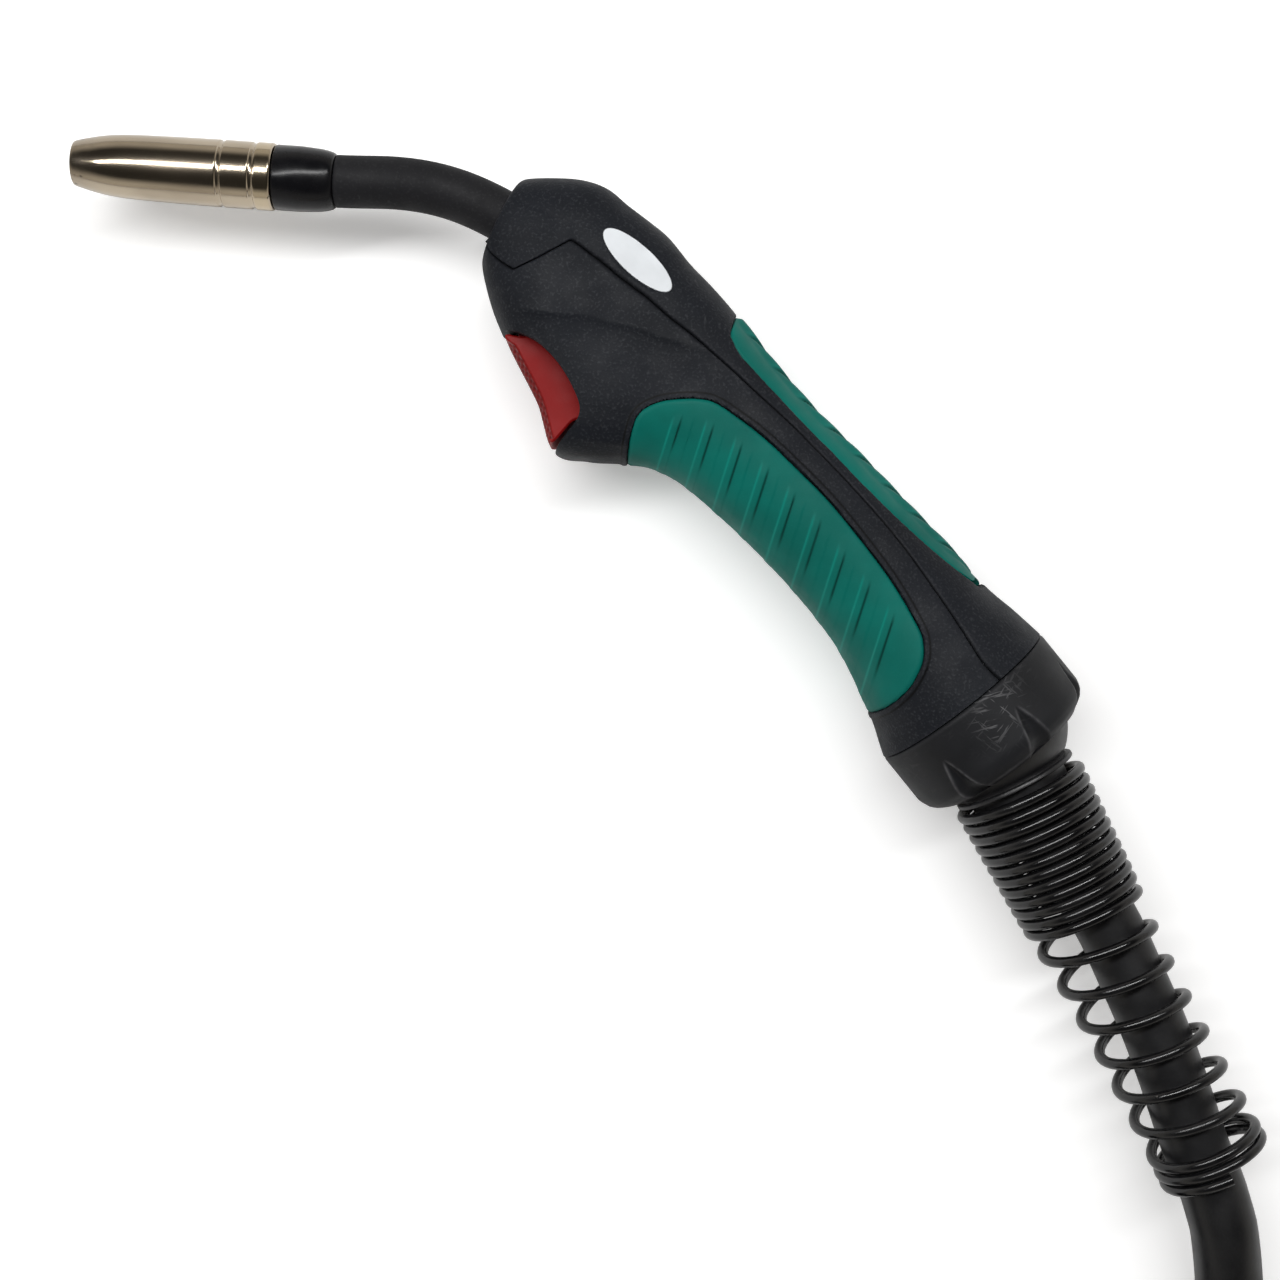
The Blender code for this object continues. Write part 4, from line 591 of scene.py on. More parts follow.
def lead():
    """The welding cable as one round bar: out of the ball joint, through the spring, down to the floor, round the
    coil and into the plug's boot."""
    inside = [BALL + s * SUPPORT + lean * BESIDE for s, lean in LEAN]
    free = [np.array([x, y, height + GROUND]) for x, y, height in FREE]
    tail = [np.array([x, TAIL_Y, height + GROUND]) for x, height in TAIL]
    path = evenly(np.array([*inside, *free, *coil_line(), *tail]), 3.0)
    cable = bar("welding_cable", path, CABLE, UP, 32, "cable_black", "lead",
                ("cable_in_support", "cable_free", "cable_coil", "cable_tail"))
    return cable, path


def strap(name, stands_for, degrees):
    """A strap round the coil: a flat band carried round a rounded rectangle that holds the turns."""
    out = down(-degrees)
    line = coil_line() - np.array([*COIL, 0.0])
    flat = line[:, :2] @ out[:2]
    near = flat > np.linalg.norm(line[:, :2], axis=1) * math.cos(math.radians(9.0))
    low, high = flat[near].min() - CABLE - 1.6, flat[near].max() + CABLE + 1.6
    bottom, top = LAYERS[0] - CABLE - 0.25 + GROUND, LAYERS[1] + CABLE + 0.3 + GROUND
    rim = eased([(low, bottom), (high, bottom), (high, top), (low, top)], 9.0, 9, closed=True)
    around = np.concatenate([np.linspace(a, b, 6, endpoint=False) for a, b in zip(rim, np.roll(rim, -1, axis=0))])
    section = eased([(0.0, -8.0), (1.3, -8.0), (1.3, 8.0), (0.0, 8.0)], 0.5, 4, closed=True)
    ring = around[:, None] + outline_out(around)[:, None] * section[None, :, :1]
    middle = np.array([*COIL, 0.0])
    points = middle + ring[..., :1] * out + ring[..., 1:] * UP + section[None, :, 1:] * np.cross(UP, out)
    return rolled(name, points, "strap", "lead", stands_for, solid=False)


def plug():
    """The central plug at the far end: ribbed boot, housing, plug body, wire pin and the fluted union nut."""
    axis = -BACK

    def ribs(s, r, angle):
        return r + 0.55 * np.cos(2 * math.pi * s / 4.6) ** 8 * span(s, 4, 6, 31, 34) * (r > 10)

    s = np.linspace(0.6, 34.4, 70)
    outside = [(0.0, 10.1), *zip(s, np.interp(s, (0, 30, 35), (10.6, 13.6, 15.4))), (35.0, 15.9), (35.6, 16.2)]
    turned("plug_boot_skin", [*outside, (37.5, 16.2), (38.0, 15.7), (38.0, 9.2), (0.0, 9.2)], PLUG, axis, 64,
           "cable_black", "lead", ("plug_boot",), ribs)
    shape = evenly(((31.0, 15.6), (34.0, 17.6), (47.0, 19.8), (57.0, 20.2), (66.6, 20.4)), 1.0)
    profile = [(31.3, 10.5), *shape, (72.0, 20.4), (72.6, 19.9), (72.6, 16.8), (38.4, 16.8), (38.4, 10.5)]

    def grips(s, r, angle):
        hollow = np.clip(np.cos(6 * angle), 0, 1) ** 2
        return r - 1.1 * hollow * span(s, 44, 48, 61, 65) * (r > 18)

    turned("plug_housing_skin", profile, PLUG, axis, 96, "shell_black", "lead", ("plug_housing",), grips)
    body = [(66.0, 15.8), (66.4, 16.4), (80.0, 16.4), (80.0, 18.1), (80.4, 18.5), (83.6, 18.5), (84.0, 18.1)]
    turned("plug_body_turning", body, PLUG, axis, 72, "brass", "lead", ("plug_body",), None, True)
    pin = [(84.3, 5.0), (103.5, 5.0), (103.7, 4.3), (105.3, 4.3), (105.5, 5.0), (110.5, 5.0), (112.0, 3.8)]
    pin += [(112.0, 2.2), (88.0, 2.2), (84.3, 2.2)]
    turned("wire_pin_turning", pin, PLUG, axis, 48, "brass", "lead", ("wire_pin",))

    count = 12

    def flutes(s, r, angle):
        turns = (angle * count / (2 * math.pi)) % 1.0 - 0.5
        off = np.abs(turns) * 2 * math.pi * 23.0 / count
        deep = np.sqrt(np.clip(2.6**2 - off**2, 0, None)) - 1.2
        return r - np.clip(deep, 0, None) * step_up(s, 76.5, 78.5) * (r > 21.0)

    s = np.linspace(78.5, 99.5, 14)
    nut = [(73.0, 20.0), (73.4, 20.7), (75.0, 22.5), (76.2, 22.5), (77.4, 22.5), *[(k, 22.5) for k in s]]
    nut += [(100.2, 22.4), (101.0, 21.5), (101.0, 19.2), (79.6, 19.2), (79.6, 17.0), (73.0, 17.0)]
    turned("union_nut_skin", nut, PLUG, axis, 288, "brass", "nut", ("union_nut",), flutes)


cable, cable_path = lead()
strap("strap_near", ("cable_tie_1",), 165.0)
strap("strap_far", ("cable_tie_2",), -15.0)
plug()


# ---- handle ----

SECTIONS = np.array([  # top x and y, bottom x and y, half width, fullness
    (117.9, 1.8, 110.4, -17.2, 11.0, 2.2), (120.6, 3.6, 109.6, -20.5, 13.0, 2.4),
    (132.8, 4.2, 112.6, -30.2, 15.5, 2.7), (141.0, 2.3, 116.8, -39.0, 17.0, 2.9),
    (147.2, -2.0, 124.0, -52.0, 18.0, 3.0), (153.2, -5.9, 131.4, -67.2, 18.5, 3.0),
    (158.4, -9.7, 140.9, -69.2, 19.0, 2.9), (164.5, -16.1, 149.4, -69.2, 19.3, 2.7),
    (170.5, -21.4, 157.4, -69.6, 19.5, 2.5), (177.2, -28.1, 165.7, -73.0, 19.5, 2.4),
    (187.2, -39.5, 175.5, -80.0, 19.5, 2.3), (199.2, -51.5, 186.5, -89.0, 19.5, 2.2),
    (211.9, -62.5, 199.5, -101.1, 20.0, 2.2), (224.1, -73.5, 210.5, -113.6, 21.0, 2.1),
    (236.3, -84.4, 217.8, -125.8, 22.5, 2.1), (248.3, -95.0, 221.5, -133.3, 24.3, 2.0),
    (255.8, -100.5, 223.6, -138.6, 25.4, 2.0), (262.95, -106.1, 224.9, -141.75, 26.0, 2.0)])
# Lines on the handle's side as (section, share of its height from the top).
SEAM = np.array([(0, 0.862), (1.2, 0.84), (2.2, 0.744), (2.7, 0.573), (3.2, 0.376), (3.6, 0.352), (4, 0.331),
                 (4.4, 0.309), (4.8, 0.294), (5.2, 0.289), (5.8, 0.3), (6.6, 0.309), (7.45, 0.319), (8.2, 0.327),
                 (9, 0.323), (10, 0.278), (10.9, 0.24), (11.95, 0.245), (13.15, 0.258), (14.25, 0.296), (15.2, 0.335),
                 (16.15, 0.363), (17, 0.361)])
RIDGE = np.array([(2.45, 0.971), (3.9, 0.652), (4.85, 0.479), (6.2, 0.433), (7.6, 0.39), (9.25, 0.312), (12, 0.25)])
CREASE = np.array([(0.4, 0.333), (1.25, 0.325), (2.2, 0.341), (3.05, 0.363)])
LOWER_EDGE = [(7.35, 1.06), (7.15, 0.921), (7.1, 0.824), (7.15, 0.786), (7.25, 0.76), (7.4, 0.738), (7.65, 0.709),
              (8.25, 0.65), (8.8, 0.587), (9.2, 0.539), (9.8, 0.492), (10.25, 0.463), (10.75, 0.445), (11.6, 0.437),
              (12.5, 0.459), (13.1, 0.473), (13.6, 0.488), (14, 0.507), (14.3, 0.53), (14.5, 0.57), (14.65, 0.62),
              (14.75, 0.685), (14.82, 0.76), (14.8, 0.841), (14.7, 0.93), (14.45, 1.039)]
UPPER_EDGE = [(9.05, -0.02), (9.05, 0.138), (9.15, 0.172), (9.4, 0.193), (9.8, 0.184), (10.4, 0.171), (11.3, 0.163),
              (11.8, 0.168), (12.15, 0.17), (13.05, 0.15), (13.95, 0.111), (14.6, 0.07), (14.85, 0.045), (14.9, -0.02)]
RIB_TOPS = np.array([(7, 0.877), (8.35, 0.736), (9.25, 0.646), (9.9, 0.597), (10.5, 0.581), (11.1, 0.568),
                     (11.65, 0.569), (12.25, 0.592), (12.85, 0.594), (13.55, 0.589), (15, 0.589)])


SEAM = np.vstack([SEAM[:5], smoothed(SEAM[4:], 12)[1:]])
RIDGE = smoothed(RIDGE, 12)
MEAN_RADIUS = 21.0  # of the handle, which makes a distance of an angle
WALL, INNER = 2.6, 26  # thickness of the shells, and places round their inner wall
TOP_RIB, FINGER_RIB = 10.57, 8.67  # from rib to rib of the upper and the lower insert


def spine(t):
    """At sections t: the table's rows, their middles, and half their heights as steps towards the top."""
    rows = through_rows(SECTIONS, t)
    return rows, (rows[..., 0:2] + rows[..., 2:4]) / 2, (rows[..., 0:2] - rows[..., 2:4]) / 2


def skin(t, angle, inset=0.0):
    """The handle's surface at a section t and an angle from its top: a rounded oblong |c|^n + |s|^n = 1 as high and
    as wide as the section, drawn in by an inset."""
    rows, middle, tall = spine(t)
    high, wide, full = np.linalg.norm(tall, axis=-1), rows[..., 4], rows[..., 5]
    c, s = np.cos(angle), np.sin(angle)
    r = (np.abs(c) ** full + np.abs(s) ** full) ** (-1.0 / full)
    level, across = c * r * (1 - inset / high), s * r * (wide - inset)
    return np.concatenate([middle + tall * level[..., None], across[..., None]], axis=-1)


def angle_at(t, share):
    """The angle from the top at which a section has a share of its height above it."""
    full = through_rows(SECTIONS, t)[..., 5]
    level = np.clip(1 - 2 * np.asarray(share, float), -1.0, 1.0)
    return np.arctan2((1 - np.abs(level) ** full) ** (1 / full), level)


def share_at(t, angle):
    """The share of a section's height above an angle from its top."""
    full = through_rows(SECTIONS, t)[..., 5]
    c, s = np.cos(angle), np.sin(angle)
    return (1 - c * (np.abs(c) ** full + np.abs(s) ** full) ** (-1.0 / full)) / 2


def shown(points):
    """Points of the handle's hidden side mirrored to the side that the photograph shows."""
    return points * (1, 1, 0) + np.abs(points) * (0, 0, 1)


def round_half(edge, across, upper):
    """Angles at shares of the way from one side's edge to the other's: over the top, or for a lower piece beneath."""
    return -edge + 2 * edge * across if upper else edge + (2 * math.pi - 2 * edge) * across


def side_line(table, step=0.4):
    """A line of (section, share) places as evenly spaced points on the side that the photograph shows."""
    places = smoothed(table, 40)
    points = skin(places[:, 0], angle_at(places[:, 0], np.clip(places[:, 1], 0.0, 1.0)))
    whole = length_of(points)
    return placed(points, np.linspace(0, whole, int(whole / step) + 2))


def beyond(table, points, t, share, upper):
    """The distance from each point to an insert's outline, less than 0 inside it. The outline is the same on both
    sides of the handle. A point is inside if a line from it crosses the outline's sides an odd number of times."""
    line = side_line(table)
    flat = shown(points.reshape(-1, 3))
    near = np.zeros(len(flat))
    for first in range(0, len(flat), 8000):
        gap = flat[first:first + 8000, None] - line[None]
        near[first:first + 8000] = np.sqrt(np.einsum("ijk,ijk->ij", gap, gap).min(axis=1))
    near = near.reshape(points.shape[:-1])
    past = -9.0 if upper else 9.0
    corners = np.vstack([smoothed(table, 8), [(table[-1][0], past), (table[0][0], past)]])
    inside = np.zeros(t.shape, bool)
    for (ta, sa), (tb, sb) in zip(corners, np.roll(corners, -1, axis=0)):
        if sa != sb:
            crossed = (sa > share) != (sb > share)
            inside ^= crossed & (t < (tb - ta) * (share - sa) / (sb - sa) + ta)
    return np.where(inside, -near, near)


def outward(points):
    """Unit normals of a grid of points: the cross product of its two directions, turned away from its middle."""
    n = np.cross(np.gradient(points, axis=0), np.gradient(points, axis=1))
    n /= np.maximum(np.linalg.norm(n, axis=-1, keepdims=True), 1e-9)
    away = points - points.mean(axis=1, keepdims=True)
    return n * np.sign(np.einsum("ijk,ijk->ij", n, away))[..., None]


def screw_dips(points):
    """Round sinks of 2.8 mm in the underside, over the heads of the two screws."""
    dip = np.zeros(points.shape[:-1])
    for name, t in (("front_screw", 6.55), ("rear_screw", 15.55)):
        low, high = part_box(name)
        depth = (low[2] + high[2]) / 2 / MM + MIDDLE[2]
        _, middle, tall = spine(t)
        way = tall / np.linalg.norm(tall)
        gap = points[..., :2] - middle
        off = np.hypot(gap @ np.array([-way[1], way[0]]), points[..., 2] - depth)
        dip += step_up(-off, -3.0, -2.6) * (gap @ way < 0)
    return dip


LABEL_SECTION = 5.25
LABEL_AT, LABEL_TURN = skin(LABEL_SECTION, angle_at(LABEL_SECTION, 0.19)), math.radians(-39.0)
LABEL_HALF = (11.7, 4.05)  # half its length and width


def in_label(points):
    """How far out in the label's oval each point is: 1 on its edge."""
    x, y = points[..., 0] - LABEL_AT[0], points[..., 1] - LABEL_AT[1]
    c, s = math.cos(LABEL_TURN), math.sin(LABEL_TURN)
    return np.hypot((x * c + y * s) / LABEL_HALF[0], (y * c - x * s) / LABEL_HALF[1])


def handle_half(name, upper, stands_for):
    """One half of the handle: the skin between its two seams, with its reliefs and the seat of its insert, and a plain
    inner wall. Its gap mark is painted shade along the seams, over the insert's seat and on the parting line under the
    guard."""
    t = np.linspace(0.0, 17.0, 381)[:, None]
    seam = angle_at(t, read_off(SEAM, t))
    edge = np.array([0.0006, 0.005, 0.011, 0.021, 0.036])
    across = np.concatenate([edge, np.linspace(0.043, 1 - 0.043, 172), 1 - edge[::-1]])[None]
    angle = round_half(seam, across, upper)
    points = skin(t, angle)
    t = np.broadcast_to(t, angle.shape)
    share = share_at(t, angle)
    high = 2 * np.linalg.norm(spine(t)[2], axis=-1)
    from_seam = np.abs(np.abs((angle + math.pi) % (2 * math.pi) - math.pi) - seam) * MEAN_RADIUS
    lift = -0.6 * hump(from_seam, 0.27)
    # gap mark: painted shade along the seam between the halves
    gap = hump(from_seam, 0.29)
    if upper:
        off = (share - read_off(CREASE, t)) * high
        lift += span(t, 0.4, 1.3, 3.0, 3.4) * (0.15 * span(off, -12.0, -4.0, -4.0, 0.0) - 0.1 * hump(off, 0.6))
        lift += np.where(points[..., 2] > 0, -0.5 * step_up(-in_label(points), -0.98, -0.9), 0.0)
    else:
        below = (share - read_off(RIDGE, t)) * high
        hollow = np.where(below > 0, -0.26 * below * np.exp(-below / 12.0), 0.0)
        lift += span(t, 2.1, 3.6, 8.0, 10.5) * step_up(-share, -0.93, -0.8) * (hollow + 0.25 * hump(below, 0.9))
        rim = hump((share - 0.925) * high, 1.2) * span(t, 5.3, 5.8, 7.0, 7.4)
        lift += 0.3 * rim - screw_dips(points)
    off = beyond(UPPER_EDGE if upper else LOWER_EDGE, points, t, share, upper)
    lift = lift * step_up(off, 0.0, 0.6) - 1.7 * step_up(-off, -0.35, 0.25)
    # painted shade where the insert sits in its seat
    gap = np.maximum(gap, step_up(-off, -0.30, 0.1))
    if not upper:
        lift += 0.30 * span(off, 0.0, 0.5, 1.3, 2.1)
    points = points + lift[..., None] * outward(points)
    if not upper:
        u, v = seen(shown(points))
        # painted shade on the parting line under the guard
        gap = np.maximum(gap, 0.7 * hump(v - 454.5, 1.2) * span(u, 558, 563, 620, 625))
    marks = {"gap": gap, "off_insert": np.clip(off, 0.0, 4.0) * (not upper)}
    marks = {mark: np.pad(values, ((0, 0), (0, INNER))) for mark, values in marks.items()}
    turn = round_half(seam, np.linspace(0.97, 0.03, INNER)[None], upper)
    inner = skin(np.broadcast_to(t[:, :1], turn.shape), turn, WALL)
    points = np.concatenate([points, inner], axis=1)
    return rolled(name, points, "shell_black", "handle", stands_for, sharp=50.0, marks=marks)


def top_ribs(off, points):
    """The upper insert's saw-tooth ribs, as a rise and as marks of painted shade in the gap and painted highlight on
    the crest of each. They bend back to both sides, and q is the distance along them from the first."""
    u, v = seen(shown(points))
    aside = np.abs(points[..., 2])
    q = ((u - 774.0) * 0.683 + (v - 355.0) * 0.730) * PIXEL + 0.85 * aside
    k = (q / TOP_RIB) % 1.0
    fade = step_up(off, 0.3, 1.5) * step_up(-aside, -10.5, -6.5) * step_up(-q, -79.0, -76.5)
    rise = 1.1 * np.sin(np.clip(k / 0.94, 0, 1) * math.pi * 0.6 + 0.25) - 0.9 * step_up(k, 0.94, 1.0)
    # the gap mark is painted shade at each rib's drop, and the crest mark a painted highlight just before it
    gap, crest_highlight = hump((k - 0.985) * TOP_RIB, 0.42) * fade, 0.7 * hump((k - 0.88) * TOP_RIB, 0.7) * fade
    return rise * fade - 0.4, gap, crest_highlight


def finger_ribs(off, points, t, share):
    """The lower insert's nine low ribs under the fingers, as a rise and as marks of painted shade in the gap and
    painted highlight on the crest of each. q counts the ribs, and d is the distance from the nearest."""
    u, v = seen(shown(points))
    q = (0.95 * u + 0.3 * v - 768.95) / 32.7
    d = (q - np.clip(np.round(q), 0, 8)) * FINGER_RIB
    tops = read_off(RIB_TOPS, t)
    fade = step_up(share, tops - 0.02, tops + 0.06) * step_up(off, 0.8, 2.2)
    low = fade * (1.0 - 0.65 * step_up(share, 0.8, 0.97))
    rise = 0.30 * span(d, -1.3, -0.8, 0.9, 1.2) + 0.16 * ((q + 0.5) % 1.0 - 0.5) * span(q, -0.5, 0.0, 8.2, 8.6)
    # the gap mark is painted shade at each rib's steep side, and the crest mark a painted highlight on its other edge
    gap, crest_highlight = hump(d - 1.15, 0.26) * fade * step_up(-share, -0.93, -0.82), 0.8 * hump(d + 1.0, 0.3) * fade
    return rise * low, gap, crest_highlight


def insert(name, edge, corners, upper, stands_for):
    """A soft insert: rows from its front end to its back end, each running round the handle between its two edges,
    over the ribs' relief, with rounded rims and a plain underside. The rows near its ends bend with its outline."""
    edge = np.asarray(edge, float)
    first, last = corners
    smooth = smoothed(edge, 30)
    front, top, rear = (smooth[30 * a:30 * b] for a, b in ((0, first), (first, last), (last, len(edge))))
    front, rear = (line[np.argsort(line[:, 1])][:, ::-1] for line in (front, rear))
    along = distances(top * (11.0, 45.0))
    close = np.array([0.0, 0.0018, 0.0045, 0.0085, 0.014])
    u = np.concatenate([close, np.linspace(0.02, 0.98, 361 if upper else 401), 1 - close[::-1]])
    across = np.concatenate([close * 2.5, np.linspace(0.05, 0.95, 55 if upper else 81), 1 - close[::-1] * 2.5])[None]
    t_edge, share_edge = (np.interp(u, along / along[-1], each)[:, None] for each in top.T)
    middle_share = 0.0 if upper else 1.0
    t_front, t_rear = read_off(front, middle_share), read_off(rear, middle_share)
    t_middle = (t_front + (t_rear - t_front) * u)[:, None]
    t = t_edge + (t_middle - t_edge) * (1 - np.abs(2 * across - 1))
    share = share_at(t, round_half(angle_at(t_edge, share_edge), across, upper))
    for near, line, k, t_end in ((1 - u, front, 0, t_front), (u, rear, -1, t_rear)):
        straight = np.array([(share_edge[k, 0], t_edge[k, 0]), (middle_share, t_end)])[::-1 if upper else 1]
        t = t + (near**3)[:, None] * (read_off(line, share) - read_off(straight, share))
    angle = round_half(angle_at(t, np.broadcast_to(share_edge, t.shape)), across, upper)
    share = share_at(t, angle)
    points = skin(t, angle)
    off = np.maximum(-beyond(edge, points, t, share, upper), 0.0)
    rise, gap, crest_highlight = top_ribs(off, points) if upper else finger_ribs(off, points, t, share)
    drop = 0.9 * (1 - np.sqrt(1 - (1 - np.clip(off, 0, 1)) ** 2))
    out = outward(points)
    both = np.stack([points + (0.2 + rise - drop)[..., None] * out, points - 1.5 * out])
    rows, cols = t.shape
    index = np.arange(t.size).reshape(rows, cols)
    ring = np.concatenate([index[0, :-1], index[:-1, -1], index[-1, :0:-1], index[:0:-1, 0]])
    after = np.roll(ring, -1)
    sides = np.stack([ring, ring + t.size, after + t.size, after], axis=-1)
    quads = np.concatenate([woven(rows, cols), woven(rows, cols, first=t.size)[:, ::-1], sides])
    # marks of painted shade and painted highlight on the ribs, none on the underside
    marks = {"gap": np.stack([gap, 0 * gap]), "crest_highlight": np.stack([crest_highlight, 0 * crest_highlight])}
    return piece(name, both, quads, [], "green", "handle", stands_for, 42.0, marks)


def label_plate():
    """The oval plate: rings about its middle, laid on the skin by finding the section and level of each place in
    the torch plane in eight steps of Newton's method, slightly crowned, with a rounded rim."""
    around = 96
    ring = np.concatenate([np.linspace(0.02, 0.9, 16), [0.94, 0.965, 0.985, 0.997, 1.0]])[:, None]
    a = np.linspace(0, 2 * math.pi, around, endpoint=False)[None]
    x, y = ring * np.cos(a) * LABEL_HALF[0], ring * np.sin(a) * LABEL_HALF[1]
    c, s = math.cos(LABEL_TURN), math.sin(LABEL_TURN)
    want = np.stack([LABEL_AT[0] + x * c - y * s, LABEL_AT[1] + x * s + y * c], axis=-1)
    t, level = np.full(x.shape, LABEL_SECTION), np.full(x.shape, 0.66)

    def place(t, level):
        _, middle, tall = spine(t)
        return middle + tall * level[..., None]

    small = 1e-4
    for _ in range(8):
        here = place(t, level)
        by_t, by_level = (place(t + small, level) - here) / small, (place(t, level + small) - here) / small
        gap = want - here
        area = by_t[..., 0] * by_level[..., 1] - by_t[..., 1] * by_level[..., 0]
        t = t + (gap[..., 0] * by_level[..., 1] - gap[..., 1] * by_level[..., 0]) / area
        level = level + (by_t[..., 0] * gap[..., 1] - by_t[..., 1] * gap[..., 0]) / area
    rows = spine(t)[0]
    z = rows[..., 4] * (1 - np.clip(np.abs(level), 0, 1) ** rows[..., 5]) ** (1 / rows[..., 5])
    top = np.concatenate([want, z[..., None]], axis=-1)
    normal = outward(np.concatenate([top, top[:, :1]], axis=1))[:, :-1]
    normal *= np.sign(normal[..., 2:])
    drop = 0.1 - 0.25 * step_up(ring, 0.975, 1.0)
    points = np.concatenate([top + drop[..., None] * normal, (top - 0.85 * normal)[::-1]])
    # gap mark: painted shade as a dark line round the rim, and the underside dark all over
    gap = np.repeat(np.concatenate([1.0 * (ring > 0.98), 1.0 + 0 * ring]), around)
    rolled("label_oval", points, "white", "handle", ("label_plate",), sharp=50.0, marks={"gap": gap})


WINDOW = [(100, -37.4), (115.8, -37.4), (121.6, -38.3), (127, -41.1), (131.4, -45.1), (134.3, -48.7), (136.9, -53),
          (138.4, -56.3), (138.5, -58.6), (137.8, -60.5), (134.4, -65.0), (132.4, -67.8), (131.0, -71.0),
          (118, -73), (100, -60)]


def cut_window(shell):
    """Take the trigger's window out of the lower half: a prism with a rounded outline, cut right across it."""
    outline = eased(WINDOW, 3.0, 6, closed=True)
    cutter = slab("window_cutter", outline, 30.0, 0.01, "shell_black", "handle")
    cut = shell.modifiers.new("window", "BOOLEAN")
    cut.operation = "DIFFERENCE"
    cut.solver = "MANIFOLD"
    cut.object = cutter
    made = bpy.data.meshes.new_from_object(shell.evaluated_get(bpy.context.evaluated_depsgraph_get()))
    shell.modifiers.clear()
    shell.data = made
    made.shade_smooth()
    made.set_sharp_from_angle(angle=math.radians(45.0))
    bpy.data.objects.remove(cutter)


handle_half("upper_shell_skin", True, ("upper_shell",))
lower_half = handle_half("lower_shell_skin", False, ("lower_shell",))
cut_window(lower_half)
insert("lower_insert", LOWER_EDGE, (4, 20), False, ("lower_grip",))
insert("upper_insert", UPPER_EDGE, (2, 11), True, ("upper_grip",))
label_plate()


# ---- trigger ----


def trigger():
    """The trigger: its outline carried over its width, with rounded edges and a fine crossed knurl on the finger's
    side, and the lug that its pin passes through."""
    around = 360
    outline = [(116.7, -38.2), (119.0, -42.4), (124.3, -51.0), (127.2, -56.0), (128.8, -61.0), (130.6, -66.4),
               (131.9, -66.0), (136.9, -59.3), (139.4, -59.4), (141.1, -57.4), (138.8, -54.6), (137.4, -49.0),
               (134.2, -43.4), (130.0, -38.6), (126.0, -37.6), (122.0, -39.2)]
    smooth = eased(outline, 2.5, 7, closed=True)
    closed = np.vstack([smooth, smooth[:1]])
    line = placed(closed, np.linspace(0, length_of(closed), around, endpoint=False))
    out = outline_out(line)
    along_face = (line - (118.0, -41.5)) @ np.array([0.50, -0.866])
    finger = np.where(out @ np.array([-0.866, -0.50]) > 0.8, 1.0, 0.0) * step_up(along_face, -2.0, 1.5)
    blur = np.hanning(15)
    finger = np.convolve(np.tile(finger, 3), blur / blur.sum(), "same")[around:2 * around]
    level = np.concatenate([[9.5, 9.4, 9.1], np.linspace(8.9, -8.9, 61), [-9.1, -9.4, -9.5]])[:, None]
    drawn = 0.5 * step_up(np.abs(level), 8.9, 9.5) ** 2 + 1.6 * finger * step_up(np.abs(level), 5.5, 9.5)
    knurl = np.abs(np.prod([np.sin(math.pi * (along_face + way * level) / 2.2) for way in (1, -1)], axis=0))
    drawn = drawn + 0.3 * knurl * finger * step_up(-np.abs(level), -9.2, -8.6)
    points = levelled(line[None] - drawn[..., None] * out[None], level)
    # gap mark: painted shade on the knurled finger's side, deepest in the knurl's grooves
    gap = np.clip(finger * (0.25 + knurl * 0.5) * (np.abs(level) < 9.3), 0, 1)
    rolled("trigger_lever", points, "red", "trigger", ("trigger",), sharp=40.0, marks={"gap": gap})
    lug = eased([(121.5, -41.5), (120.6, -37.8), (118.7, -34.2), (118.6, -32.0), (120.0, -30.4), (122.2, -30.2),
                 (124.0, -31.4), (128.5, -38.6), (128.0, -43.0)], 1.5, 5, closed=True)
    slab("trigger_lug", lug, 5.4, 0.6, "red", "trigger")


trigger()


# ---- front end ----


NECK_BEND = 34.0  # degrees
BEND_START, BEND_RADIUS = 80.2, 78.0
NECK_RISE = 1.6  # how far the neck leaves the nozzle's axis upwards before its bend, as the photograph shows it


def neck_line(start, step):
    """The middle of the neck: straight back to its bend, then round the bend, with its slow rise added."""
    straight = np.array([(x, 0.0, 0.0) for x in np.arange(start, BEND_START, step)])
    a = np.radians(np.linspace(0, NECK_BEND, int(BEND_RADIUS * math.radians(NECK_BEND) / step) + 2))
    arc = np.stack([BEND_START + BEND_RADIUS * np.sin(a), BEND_RADIUS * (np.cos(a) - 1.0), 0 * a], axis=-1)
    line = np.vstack([straight, arc])
    line[:, 1] += NECK_RISE * step_up(line[:, 0], 64.0, 104.0)
    return line


